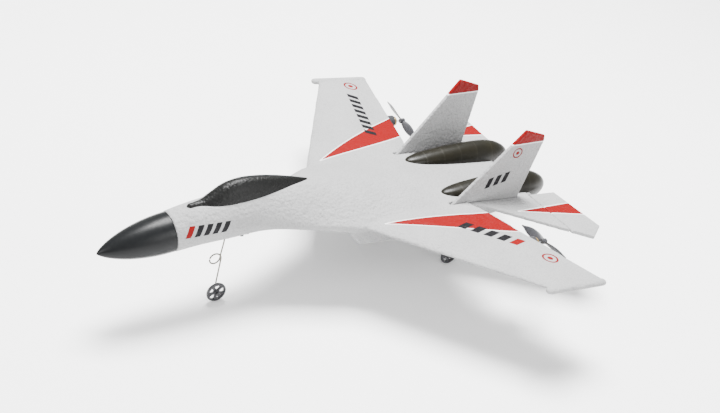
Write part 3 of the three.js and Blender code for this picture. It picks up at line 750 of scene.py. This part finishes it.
def white_foam(name: str, markings: Callable[[Graph, Value], tuple[Value, Value]]) -> Foam:
    """The airframe's foam.

    Args:
        name: the material's name.
        markings: its stickers.

    Returns:
        The finish.
    """
    return Foam(name, "white_foam", (0.29, 0.29, 0.291), 0.62, spread=0.22, gloss=0.1, markings=markings)


NOSE_BLACK = Finish("nose_black", "black_plastic", (0.006, 0.0065, 0.007), 0.34, grain_mm=1.2, gloss=0.14)
# The canopy's pebbles carry the same painted shade in their hollows.
CANOPY_BLACK = Foam(
    "canopy_black", "black_foam", (0.007, 0.0072, 0.007), 0.36, spread=0.4, gloss=0.12,
    bead_mm=2.0, bead_depth_mm=0.45, swell_depth_mm=0.25)
SMOKED_SHELL = Shell("smoked_shell", "smoked_plastic", (0.004, 0.004, 0.0032), 0.34, gloss=0.2)
BLACK_PLASTIC = Finish("black_plastic", "black_plastic", (0.004, 0.0042, 0.0043), 0.42, gloss=0.1)
WIRE_STEEL = DrawnMetal("wire_steel", "spring_steel", (0.13, 0.12, 0.1), 0.45, metallic=1.0)
BRIGHT_STEEL = DrawnMetal("bright_steel", "bright_steel", (0.62, 0.62, 0.63), 0.28, metallic=1.0)
BRASS = DrawnMetal("turned_brass", "brass", (0.7, 0.48, 0.2), 0.3, metallic=1.0)
CIRCUIT = Finish("circuit_green", "circuit_board", (0.02, 0.13, 0.06), 0.45, spread=0.3)
SLEEVE = Finish("battery_wrap", "battery_sleeve", (0.3, 0.32, 0.36), 0.35, spread=0.1)
RED_LEAD = Finish("red_lead", "red_lead", (0.4, 0.02, 0.02), 0.5)
WHITE_PLASTIC = Finish("white_plastic", "white_plastic", (0.78, 0.78, 0.74), 0.4, spread=0.05)


# ---------------------------------------------------------------- mesh helpers
def round_steps(count: int) -> list[float]:
    """The angles of even steps round a circle, in radians."""
    return [2 * math.pi * k / count for k in range(count)]


def in_scene(name: str, data: Any) -> bpy.types.Object:
    """Makes an object and puts it in the scene.

    Args:
        name: the object's name.
        data: its mesh, light or camera.

    Returns:
        The object.
    """
    made = bpy.data.objects.new(name, data)
    bpy.context.scene.collection.objects.link(made)
    return made


@dataclass(frozen=True)
class SmoothLine:
    """A smooth curve through (station, value) points.

    Args:
        points: the points, in order of station.
    """

    points: tuple[Pair, ...]

    def _slope(self, index: int) -> float:
        """The slope at one point, from its neighbours.

        Args:
            index: which point.

        Returns:
            The slope.
        """
        before = self.points[max(index - 1, 0)]
        after = self.points[min(index + 1, len(self.points) - 1)]
        return (after[1] - before[1]) / (after[0] - before[0])

    def __call__(self, station: float) -> float:
        """The value at a station.

        Args:
            station: where to read the curve.

        Returns:
            The curve's value there.
        """
        last = len(self.points) - 2
        at = max(0, min(last, sum(point[0] <= station for point in self.points) - 1))
        (x0, v0), (x1, v1) = self.points[at], self.points[at + 1]
        t, span = (station - x0) / (x1 - x0), x1 - x0
        return (
            (2 * t**3 - 3 * t**2 + 1) * v0
            + (t**3 - 2 * t**2 + t) * self._slope(at) * span
            + (3 * t**2 - 2 * t**3) * v1
            + (t**3 - t**2) * self._slope(at + 1) * span
        )


class Sculpt:
    """A mesh under way, in the airframe's millimetres."""

    def __init__(self) -> None:
        """Starts with nothing."""
        self.bm = bmesh.new()

    def loft(self, rings: Sequence[Ring], closed_ends: bool = True) -> None:
        """Skins rings of points with the same count.

        Args:
            rings: the rings, in order.
            closed_ends: whether the first and last rings are filled.
        """
        rows = [[self.bm.verts.new(point) for point in ring] for ring in rings]
        count = len(rows[0])
        for low, high in zip(rows, rows[1:]):
            for i in range(count):
                j = (i + 1) % count
                self.bm.faces.new((low[i], low[j], high[j], high[i]))
        if closed_ends:
            self.bm.faces.new(rows[0])
            self.bm.faces.new(rows[-1][::-1])

    def lathe(self, profile: Sequence[Pair], sides: int, place: Matrix) -> None:
        """Turns a closed (radius, height) profile about a line.

        Args:
            profile: points round the section, none on the line itself.
            sides: how many steps round.
            place: from the line's own axes, with height along z, to the airframe.
        """
        rings = []
        for radius, height in profile:
            points = [(radius * math.cos(a), radius * math.sin(a), height) for a in round_steps(sides)]
            rings.append([place @ Vector(point) for point in points])
        self.loft([*rings, rings[0]], closed_ends=False)

    def tube(self, path: Sequence[Vector], radius: float, sides: int = 16) -> None:
        """A round wire along a path.

        Args:
            path: the points that the wire follows.
            radius: the wire's radius.
            sides: how many steps round.
        """
        rings, normal = [], None
        for i, point in enumerate(path):
            ahead = (path[min(i + 1, len(path) - 1)] - path[max(i - 1, 0)]).normalized()
            normal = ahead.orthogonal() if normal is None else normal - ahead * normal.dot(ahead)
            normal.normalize()
            other = ahead.cross(normal)
            spread = [normal * math.cos(a) + other * math.sin(a) for a in round_steps(sides)]
            rings.append([point + way * radius for way in spread])
        self.loft(rings)

    def finish(self, name: str, flip: bool = False, sharp_degrees: float = 40.0) -> bpy.types.Object:
        """Turns the sculpt into an object that stands where the model does.

        Args:
            name: the object's name.
            flip: whether to mirror it to the right side.
            sharp_degrees: an edge bent by more than this stays crisp.

        Returns:
            The new object.
        """
        if flip:
            bmesh.ops.scale(self.bm, vec=(-1, 1, 1), verts=self.bm.verts)
        bmesh.ops.remove_doubles(self.bm, verts=self.bm.verts, dist=WELD_MM)
        bmesh.ops.transform(self.bm, matrix=STANCE.matrix(), verts=self.bm.verts)
        bmesh.ops.recalc_face_normals(self.bm, faces=self.bm.faces)
        mesh = bpy.data.meshes.new(name)
        self.bm.to_mesh(mesh)
        self.bm.free()
        mesh.shade_smooth()
        mesh.set_sharp_from_angle(angle=math.radians(sharp_degrees))
        return in_scene(name, mesh)


def bent_path(corners: Sequence[Point], bend: float, steps: int = 8) -> list[Vector]:
    """A path with rounded corners.

    Args:
        corners: the ends and the corners.
        bend: how far from a corner its bend starts.
        steps: how many points each bend has.

    Returns:
        The points of the path.
    """
    points = [Vector(corner) for corner in corners]
    path = [points[0]]
    for before, corner, after in zip(points, points[1:], points[2:]):
        start = corner + (before - corner).normalized() * bend
        end = corner + (after - corner).normalized() * bend
        for i in range(steps + 1):
            t = i / steps
            path.append(start * (1 - t) ** 2 + corner * 2 * t * (1 - t) + end * t**2)
    return [*path, points[-1]]


def applied(thing: bpy.types.Object) -> bpy.types.Object:
    """Turns an object's modifiers into mesh.

    Args:
        thing: the object.

    Returns:
        The same object, with none left.
    """
    bpy.context.view_layer.update()
    graph = bpy.context.evaluated_depsgraph_get()
    mesh = bpy.data.meshes.new_from_object(thing.evaluated_get(graph))
    thing.modifiers.clear()
    thing.data = mesh
    return thing


def copy_of(node: str, name: str) -> bpy.types.Object:
    """A closed copy of a node's mesh, to work on.

    Args:
        node: the node's name.
        name: the copy's name.

    Returns:
        The copy.
    """
    sculpt = Sculpt()
    sculpt.bm.from_mesh(FRAME["nodes"][node].data)
    bmesh.ops.remove_doubles(sculpt.bm, verts=sculpt.bm.verts, dist=NODE_WELD_M)
    mesh = bpy.data.meshes.new(name)
    sculpt.bm.to_mesh(mesh)
    sculpt.bm.free()
    return in_scene(name, mesh)


def moulded(node: str, name: str, voxel_mm: float, smoothing: int) -> bpy.types.Object:
    """A copy of a node with the soft edges and hollows of a moulding.

    Args:
        node: the node's name.
        name: the new piece's name.
        voxel_mm: the size of its new mesh's faces.
        smoothing: how many rounds of smoothing it gets.

    Returns:
        The new piece.
    """
    piece = copy_of(node, name)
    remesh = piece.modifiers.new("skin", "REMESH")
    remesh.mode, remesh.use_smooth_shade = "VOXEL", True
    remesh.voxel_size = voxel_mm * MILLIMETRE
    smooth = piece.modifiers.new("soften", "SMOOTH")
    smooth.factor, smooth.iterations = 0.5, smoothing
    applied(piece)
    piece.data.shade_smooth()
    return piece


def eased(node: str, name: str, edge_mm: float = 0.15, sharp_degrees: float = 38.0) -> bpy.types.Object:
    """A copy of a node with its edges rounded over.

    Args:
        node: the node's name.
        name: the new piece's name.
        edge_mm: the width of the rounding.
        sharp_degrees: an edge bent by more than this is rounded.

    Returns:
        The new piece.
    """
    piece = copy_of(node, name)
    bevel = piece.modifiers.new("ease", "BEVEL")
    bevel.width, bevel.segments, bevel.limit_method = edge_mm * MILLIMETRE, 2, "ANGLE"
    bevel.angle_limit = math.radians(sharp_degrees)
    applied(piece)
    piece.data.shade_smooth()
    piece.data.set_sharp_from_angle(angle=math.radians(sharp_degrees))
    return piece


# ---------------------------------------------------------------- sub-assemblies
class Assembly:
    """What every sub-assembly shares: it fits pieces to nodes and gives them their finishes."""

    def material(self, finish: Finish) -> bpy.types.Material:
        """The material of a finish, made once."""
        return bpy.data.materials.get(finish.name) or finish.material()

    def fit(self, piece: bpy.types.Object, finish: Finish, body: str, *nodes: str) -> None:
        """Dresses a piece and puts it in its nodes' place.

        Args:
            piece: the piece.
            finish: its finish.
            body: the body that it rides on.
            nodes: the nodes that it stands for.
        """
        piece.data.materials.clear()
        piece.data.materials.append(self.material(finish))
        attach(piece, body)
        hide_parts(*nodes)
        log.info("%s: %d faces, on %s", piece.name, len(piece.data.polygons), body)

    def dress(self, node: str, finish: Finish) -> None:
        """Gives a node that stays as it is its finish.

        Args:
            node: the node's name.
            finish: its finish.
        """
        data = FRAME["nodes"][node].data
        data.materials.clear()
        data.materials.append(self.material(finish))
        log.info("%s: kept", node)


@dataclass
class FoamParts(Assembly):
    """The white foam: the airframe, the fins and the elevators."""

    airframe_voxel: float = 0.85
    small_voxel: float = 0.5

    def build(self) -> None:
        """Builds and dresses the foam pieces."""
        skin = white_foam("airframe_foam", AirframeMarkings())
        airframe = moulded("foam_airframe", "airframe_skin", self.airframe_voxel, 4)
        self.fit(airframe, skin, "airframe", "foam_airframe")
        for side in Side:
            label = side.label
            fin = moulded(f"{label}_fin", f"{label}_fin_skin", self.small_voxel, 3)
            foam = white_foam(f"{label}_fin_foam", FinMarkings(side))
            self.fit(fin, foam, "airframe", f"{label}_fin")
            flap = moulded(f"{label}_elevator", f"{label}_elevator_skin", self.small_voxel, 3)
            self.fit(flap, skin, f"{label}_elevator", f"{label}_elevator")


@dataclass
class NoseCone(Assembly):
    """The smooth black nose cone, turned about an axis that droops."""

    length: float = 56.0
    radius: float = 15.2
    wall: float = 1.5
    droop_degrees: float = 12.9
    fullness: float = 0.75
    lip: float = 0.35
    pinhole: float = 0.05
    gap: float = 0.02

    def build(self) -> None:
        """Builds and dresses the cone."""
        steps, inner_from = 40, 0.3
        ease = [1 - math.cos(math.pi * i / steps / 2) for i in range(1, steps + 1)]
        outer = [(self.radius * (1 - (1 - s) ** 2) ** self.fullness, self.length * s) for s in ease]
        lip = (self.radius - self.lip, self.length + self.gap)
        behind = [(r, h) for r, h in reversed(outer) if h > inner_from * self.length]
        inner = [(max(r - self.wall, self.pinhole), h) for r, h in behind]
        profile = [(self.pinhole, self.gap), *outer, lip, *inner, (self.pinhole, inner[-1][1])]
        droop = Matrix.Rotation(math.radians(self.droop_degrees), 4, "X")
        tip = droop @ Matrix.Rotation(-math.pi / 2, 4, "X")
        sculpt = Sculpt()
        sculpt.lathe(profile, 72, tip)
        self.fit(sculpt.finish("nose_cone_shell"), NOSE_BLACK, "airframe", "nose_cone")


@dataclass
class Canopy(Assembly):
    """The black canopy, a long drop shape let into the crown of the body."""

    stations: tuple[tuple[float, float, float], ...] = (
        (65.4, 1.6, 33.0), (66.6, 3.6, 34.6), (71.0, 4.4, 35.6), (77.0, 5.8, 37.4), (84.0, 7.8, 42.2),
        (94.0, 9.4, 49.4), (106.0, 9.8, 53.0), (120.0, 9.1, 53.8), (134.0, 7.7, 53.0), (147.0, 5.7, 51.4),
        (158.0, 3.3, 49.6), (164.8, 1.2, 48.4))
    crown: SmoothLine = SmoothLine((
        (55.0, 28.0), (65.0, 31.4), (75.0, 34.2), (96.0, 39.2), (110.0, 42.0), (135.0, 45.4), (165.0, 47.4),
        (205.0, 46.6)))
    foot_depth: float = 5.0
    keel: float = 2.0

    def build(self) -> None:
        """Builds and dresses the canopy."""
        width = SmoothLine(tuple((s, w) for s, w, _ in self.stations))
        top = SmoothLine(tuple((s, t) for s, _, t in self.stations))
        first, last = self.stations[0][0], self.stations[-1][0]
        spans, sides = 70, 48
        rings = []
        for i in range(spans + 1):
            station = first + (last - first) * (i / spans)
            foot = self.crown(station) - self.foot_depth
            ring = []
            for angle in round_steps(sides):
                rise = top(station) - foot if math.cos(angle) >= 0 else self.keel
                out = width(station) * math.sin(angle)
                ring.append(Vector((out, station, foot + rise * math.cos(angle))))
            rings.append(ring)
        sculpt = Sculpt()
        sculpt.loft(rings)
        self.fit(sculpt.finish("canopy_shell", sharp_degrees=60), CANOPY_BLACK, "airframe", "canopy")


@dataclass
class EngineCovers(Assembly):
    """The two smoked shells over the engines, half round on the deck and whole behind it."""

    x: float = 26.4
    z: float = 38.8
    body_end: float = 368.0
    closing: float = 1.5
    sunk: float = 0.8
    spread: SmoothLine = SmoothLine((
        (280.4, 1.4), (292.0, 1.34), (308.0, 1.12), (334.0, 0.88), (357.0, 0.78), (390.6, 0.78)))
    radius: SmoothLine = SmoothLine((
        (280.4, 1.2), (283.5, 3.2), (292.0, 5.6), (308.0, 8.7), (334.0, 12.6), (357.0, 14.6), (370.0, 13.9),
        (380.0, 11.0), (387.0, 6.8), (390.6, 2.0)))

    def ring(self, station: float, sides: int = 56) -> Ring:
        """The shell's outline at one station.

        Args:
            station: the station along y.
            sides: how many points.

        Returns:
            The points.
        """
        whole = min(max((station - self.body_end) / self.closing + 1.0, 0.0), 1.0)
        reach = self.radius(station)
        points = []
        for angle in round_steps(sides):
            up = reach * math.cos(angle)
            low = up if up > 0 else max(up, -self.sunk) * (1 - whole) + up * whole
            out = self.x + self.spread(station) * reach * math.sin(angle)
            points.append(Vector((out, station, self.z + low)))
        return points

    def build(self) -> None:
        """Builds and dresses both covers."""
        first, last = self.radius.points[0][0], self.radius.points[-1][0]
        spans = 90
        for side in Side:
            sculpt = Sculpt()
            sculpt.loft([self.ring(first + (last - first) * i / spans) for i in range(spans + 1)])
            cover = sculpt.finish(f"{side.label}_engine_shell", side is Side.RIGHT, 60)
            self.fit(cover, SMOKED_SHELL, "airframe", f"{side.label}_engine_cover")


@dataclass
class Drive(Assembly):
    """The motors and their two-blade propellers."""

    x: float = 101.9
    y: float = 329.6
    z: float = 34.9
    radius: float = 27.0
    root: float = 3.4
    chord: float = 7.4
    hub_radius: float = 2.3
    hub_length: float = 5.0
    bore: float = 0.8
    ease: float = 0.5
    half_thick: Pair = (0.75, 0.35)
    narrowing: float = 0.7
    pitch_degrees: Pair = (-52.0, -16.0)
    rest_degrees: Mapping[Side, float] = field(
        default_factory=lambda: {Side.LEFT: 3.3, Side.RIGHT: 11.8})

    def blade_ring(self, out: float, points: int = 20) -> Ring:
        """One section of a blade that points along x.

        Args:
            out: how far out the section is, from 0 to 1.
            points: how many points round it.

        Returns:
            The section's points.
        """
        x = 1 + (self.radius - 1) * out
        swell = math.sin(math.pi * min(out * 1.15, 1)) ** 0.8
        chord = self.root + (self.chord - self.root) * swell - self.root * self.narrowing * out**6
        (steep, flat), (thick, thin) = self.pitch_degrees, self.half_thick
        pitch = math.radians(steep + (flat - steep) * out**0.7)
        half, sine, cosine = thick + (thin - thick) * out, math.sin(pitch), math.cos(pitch)
        ring = []
        for angle in round_steps(points):
            u, v = chord / 2 * math.cos(angle), half * math.sin(angle)
            ring.append(Vector((x, u * sine + v * cosine, u * cosine - v * sine)))
        return ring

    def propeller(self, side: Side) -> bpy.types.Object:
        """Builds one propeller in its place.

        Args:
            side: which side's.

        Returns:
            The propeller.
        """
        sculpt = Sculpt()
        rest = Matrix.Rotation(-math.radians(self.rest_degrees[side]), 4, "Y")
        turn = Matrix.Translation((self.x, self.y, self.z)) @ rest
        spans = 26
        for half_turn in (Matrix.Identity(4), Matrix.Rotation(math.pi, 4, "Y")):
            place = turn @ half_turn
            sections = [self.blade_ring(i / spans) for i in range(spans + 1)]
            sculpt.loft([[place @ point for point in section] for section in sections])
        half, ease = self.hub_length / 2, self.ease
        profile = [(self.bore, -half), (self.hub_radius - ease, -half), (self.hub_radius, -half + ease),
                   (self.hub_radius, half - ease), (self.hub_radius - ease, half), (self.bore, half)]
        sculpt.lathe(profile, 40, turn @ Matrix.Rotation(-math.pi / 2, 4, "X"))
        return sculpt.finish(f"{side.label}_propeller_moulding", side is Side.RIGHT)

    def build(self) -> None:
        """Builds and dresses the drive on both sides."""
        for side in Side:
            label = side.label
            self.fit(self.propeller(side), BLACK_PLASTIC, f"{label}_rotor", f"{label}_propeller")
            parts = {"motor_mount": BLACK_PLASTIC, "motor_can": BRIGHT_STEEL, "motor_cap": BRASS}
            for part, finish in parts.items():
                piece = eased(f"{label}_{part}", f"{label}_{part}_eased")
                self.fit(piece, finish, "airframe", f"{label}_{part}")
            self.dress(f"{label}_motor_shaft", BRIGHT_STEEL)
            self.dress(f"{label}_motor_lead", RED_LEAD)


@dataclass
class Undercarriage(Assembly):
    """The wire legs, their sockets and collars, and the wheels."""

    wire: float = 0.6
    bend: float = 1.6
    axle_run: float = 6.7
    wheel_offset: float = 3.2
    coil_step: float = 0.85
    nose: Point = (103.2, 9.0, -45.6)
    main: Point = (305.6, 27.0, -20.9)
    main_x: float = 27.0
    coil: Pair = (4.6, -17.0)
    split_degrees: float = 14.0
    lead_z: float = -3.0
    lead_rise: float = 4.0
    rim: Pair = (6.3, 8.2)
    rim_ease: Pair = (0.4, 0.5)
    tread_depth: float = 1.1
    tread_inset: float = 0.2
    width: float = 3.2
    hub: tuple[float, float, float] = (0.95, 2.0, 4.0)
    ease: float = 0.3
    spokes: int = 5
    spoke_inset: float = 0.7
    spoke_root: float = 1.25
    spoke_widths: tuple[Pair, ...] = ((3.0, 1.15), (4.6, 1.2), (5.6, 1.6))
    spoke_foot: float = 2.4

    def wheel(self, name: str, x: float, y: float, z: float, flip: bool) -> bpy.types.Object:
        """Builds a wheel about a line along x.

        Args:
            name: its name.
            x: its middle.
            y: its axle's y.
            z: its axle's z.
            flip: whether to mirror it.

        Returns:
            The wheel.
        """
        sculpt = Sculpt()
        place = Matrix.Translation((x, y, z)) @ Matrix.Rotation(math.pi / 2, 4, "Y")
        inner, outer = self.rim
        half = self.width / 2
        depth, reach = self.tread_depth, half - self.tread_inset
        turns = [math.radians(degrees) for degrees in range(-80, 81, 10)]
        crown = [(outer - depth + depth * math.cos(a), reach * math.sin(a)) for a in turns]
        out, back = self.rim_ease
        sculpt.lathe([(inner, -half + back), (inner + out, -half), *crown,
                      (inner + out, half), (inner, half - back)], 72, place)
        bore, hub, length = self.hub
        end, ease = length / 2, self.ease
        sculpt.lathe([(bore, -end), (hub - ease, -end), (hub, -end + ease),
                      (hub, end - ease), (hub - ease, end), (bore, end)], 40, place)
        for i in range(self.spokes):
            self.spoke(sculpt, place @ Matrix.Rotation(2 * math.pi * i / self.spokes, 4, "Z"))
        return sculpt.finish(name, flip, 35)

    def spoke(self, sculpt: Sculpt, place: Matrix) -> None:
        """Adds one spoke, wide at the rim and at the hub.

        Args:
            sculpt: the wheel under way.
            place: the spoke's turn about the axle.
        """
        thick, ease = self.width / 2 - self.spoke_inset, self.ease
        root, foot = (self.hub[1] - ease, self.spoke_root), (self.rim[0] + ease, self.spoke_foot)
        rings = []
        for out, wide in (root, *self.spoke_widths, foot):
            half = [(-wide, -thick + ease), (-wide + ease, -thick),
                    (wide - ease, -thick), (wide, -thick + ease)]
            corners = [*half, *((-across, -up) for across, up in half)]
            rings.append([place @ Vector((out, across, up)) for across, up in corners])
        sculpt.loft(rings)

    def coil_half(self, start: float, end: float, from_x: float, steps: int = 28) -> list[Vector]:
        """Half of the nose leg's coil.

        Args:
            start: the angle at its start, in degrees.
            end: the angle at its end.
            from_x: its x at the start; it ends at 0.
            steps: how many points.

        Returns:
            The points.
        """
        radius, middle_z = self.coil
        middle_y = self.nose[0] - radius
        path = []
        for i in range(steps + 1):
            angle = math.radians(start + (end - start) * i / steps)
            path.append(Vector((from_x * (1 - i / steps), middle_y + radius * math.cos(angle),
                                middle_z + radius * math.sin(angle))))
        return path

    def nose_leg(self) -> None:
        """Builds the nose leg above and below its coil."""
        y, top, axle = self.nose
        reach = 180 - self.split_degrees / 2
        upper = Sculpt()
        lead = [Vector((0, y, top)), Vector((0, y, self.lead_z)),
                Vector((-self.coil_step, y, self.coil[1] + self.lead_rise))]
        upper.tube([*lead, *self.coil_half(0, -reach, -self.coil_step)], self.wire)
        self.fit(upper.finish("nose_leg_upper_spring"), WIRE_STEEL, "airframe", "nose_leg_upper_wire")
        lower = Sculpt()
        turn = self.coil_half(0, reach, self.coil_step)[::-1]
        step = self.coil_step
        corners = [(step, y, self.coil[1]), (step, y, axle), (step + self.axle_run, y, axle)]
        foot = bent_path(corners, self.bend)
        lower.tube([*turn, *foot[1:]], self.wire)
        self.fit(lower.finish("nose_leg_lower_spring"), WIRE_STEEL, "nose_leg", "nose_leg_lower_wire")
        wheel = self.wheel("nose_wheel_moulding", step + self.wheel_offset, y, axle, False)
        self.fit(wheel, BLACK_PLASTIC, "nose_wheel", "nose_wheel")
        collar = eased("nose_wheel_collar", "nose_collar_eased", 0.2)
        self.fit(collar, BLACK_PLASTIC, "nose_leg", "nose_wheel_collar")
        socket = eased("nose_leg_socket", "nose_socket_eased", 0.2)
        self.fit(socket, BLACK_PLASTIC, "airframe", "nose_leg_socket")

    def build(self) -> None:
        """Builds and dresses all three legs."""
        self.nose_leg()
        y, top, axle = self.main
        for side in Side:
            label, flip = side.label, side is Side.RIGHT
            sculpt = Sculpt()
            x = self.main_x
            corners = [(x, y, top), (x, y, axle), (x + self.axle_run, y, axle)]
            sculpt.tube(bent_path(corners, self.bend), self.wire)
            leg = sculpt.finish(f"{label}_leg_spring", flip)
            self.fit(leg, WIRE_STEEL, "airframe", f"{label}_leg_wire")
            wheel = self.wheel(f"{label}_wheel_moulding", x + self.wheel_offset, y, axle, flip)
            self.fit(wheel, BLACK_PLASTIC, f"{label}_wheel", f"{label}_main_wheel")
            for part in ("leg_socket", "wheel_collar"):
                piece = eased(f"{label}_{part}", f"{label}_{part}_eased", 0.2)
                self.fit(piece, BLACK_PLASTIC, "airframe", f"{label}_{part}")


class Belly(Assembly):
    """The battery bay with its hatch and electronics, and the power switch."""

    def build(self) -> None:
        """Dresses the bay, what it holds, and the switch."""
        pieces = (
            ("battery_hatch", "hatch_moulding", 0.25, BLACK_PLASTIC, "hatch"),
            ("power_switch", "switch_moulding", 0.15, BLACK_PLASTIC, "airframe"),
            ("power_switch_knob", "switch_knob_moulding", 0.15, BLACK_PLASTIC, "switch_knob"),
            ("battery", "battery_pouch", 0.5, SLEEVE, "airframe"),
            ("bay_box", "bay_moulding", 0.15, BLACK_PLASTIC, "airframe"),
        )
        for node, name, edge_mm, finish, body in pieces:
            self.fit(eased(node, name, edge_mm), finish, body, node)
        kept = {"receiver_board": CIRCUIT, "battery_socket": WHITE_PLASTIC,
                "battery_plug": WHITE_PLASTIC, "battery_lead": RED_LEAD}
        for node, finish in kept.items():
            self.dress(node, finish)


# ---------------------------------------------------------------- studio
@dataclass
class Studio:
    """The floor, the lights and the camera."""

    floor_size: float = 14.0
    floor_drop: float = 0.0001
    floor_colour: Colour = (0.95, 0.95, 0.95)
    sky_strength: float = 0.72
    aim: Point = (0.0, 0.0, 0.05)
    camera_place: Point = (0.68026, -0.48373, 0.5881)
    camera_right: Point = (0.52576, 0.84036, 0.13184)
    camera_up: Point = (-0.5133, 0.18984, 0.83695)
    lens: float = 62.5
    sensor: float = 36.0
    lights: tuple[tuple[str, Point, float, float], ...] = (
        ("overhead", (-0.3, 0.2, 1.5), 0.7, 125.0),
        ("front", (0.2, -1.5, 0.8), 0.7, 16.0),
        ("fill", (1.5, 0.35, 0.7), 0.9, 22.0),
    )

    def floor(self) -> None:
        """Lays a plain pale floor under the wheels."""
        graph = Graph("studio_floor")
        graph.set(base_color=self.floor_colour, roughness=0.9)
        bm = bmesh.new()
        half, level = self.floor_size / 2, CAD_BOX[0][2] - self.floor_drop
        corners = ((-half, -half), (half, -half), (half, half), (-half, half))
        bm.faces.new([bm.verts.new((x, y, level)) for x, y in corners])
        mesh = bpy.data.meshes.new("studio_floor")
        bm.to_mesh(mesh)
        bm.free()
        mesh.materials.append(graph.material)
        in_scene("studio_floor", mesh)

    def light(self, name: str, place: Point, size: float, watts: float) -> None:
        """Hangs a soft light that looks at the aircraft.

        Args:
            name: its name.
            place: where it hangs, in metres.
            size: the side of its square.
            watts: its power.
        """
        data = bpy.data.lights.new(name, "AREA")
        data.size, data.energy = size, watts
        lamp = in_scene(name, data)
        lamp.location = place
        lamp.rotation_euler = (Vector(self.aim) - Vector(place)).to_track_quat("-Z", "Y").to_euler()

    def camera(self) -> None:
        """Places the camera."""
        data = bpy.data.cameras.new("view")
        data.lens, data.sensor_width, data.clip_start = self.lens, self.sensor, 0.01
        right, up = Vector(self.camera_right).normalized(), Vector(self.camera_up).normalized()
        back = right.cross(up)
        axes = Matrix((right, up, back)).transposed().to_4x4()
        camera = in_scene("view", data)
        camera.matrix_world = Matrix.Translation(self.camera_place) @ axes
        bpy.context.scene.camera = camera

    def build(self) -> None:
        """Sets up the studio."""
        world = bpy.data.worlds.new("studio")
        world.use_nodes = True
        sky = world.node_tree.nodes["Background"]
        sky.inputs["Color"].default_value = (1.0, 1.0, 1.0, 1.0)
        sky.inputs["Strength"].default_value = self.sky_strength
        bpy.context.scene.world = world
        self.floor()
        for name, place, size, watts in self.lights:
            self.light(name, place, size, watts)
        self.camera()
        log.info("studio: floor, %d lights and camera", len(self.lights))


def main() -> None:
    """Builds the aircraft's pieces in order, then the studio."""
    logging.basicConfig(level=logging.INFO, format="%(name)s %(message)s")
    for assembly in (FoamParts(), NoseCone(), Canopy(), EngineCovers(), Drive(), Undercarriage(), Belly()):
        log.info("%s", type(assembly).__name__)
        assembly.build()
    Studio().build()
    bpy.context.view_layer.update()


if __name__ == "__main__":
    main()
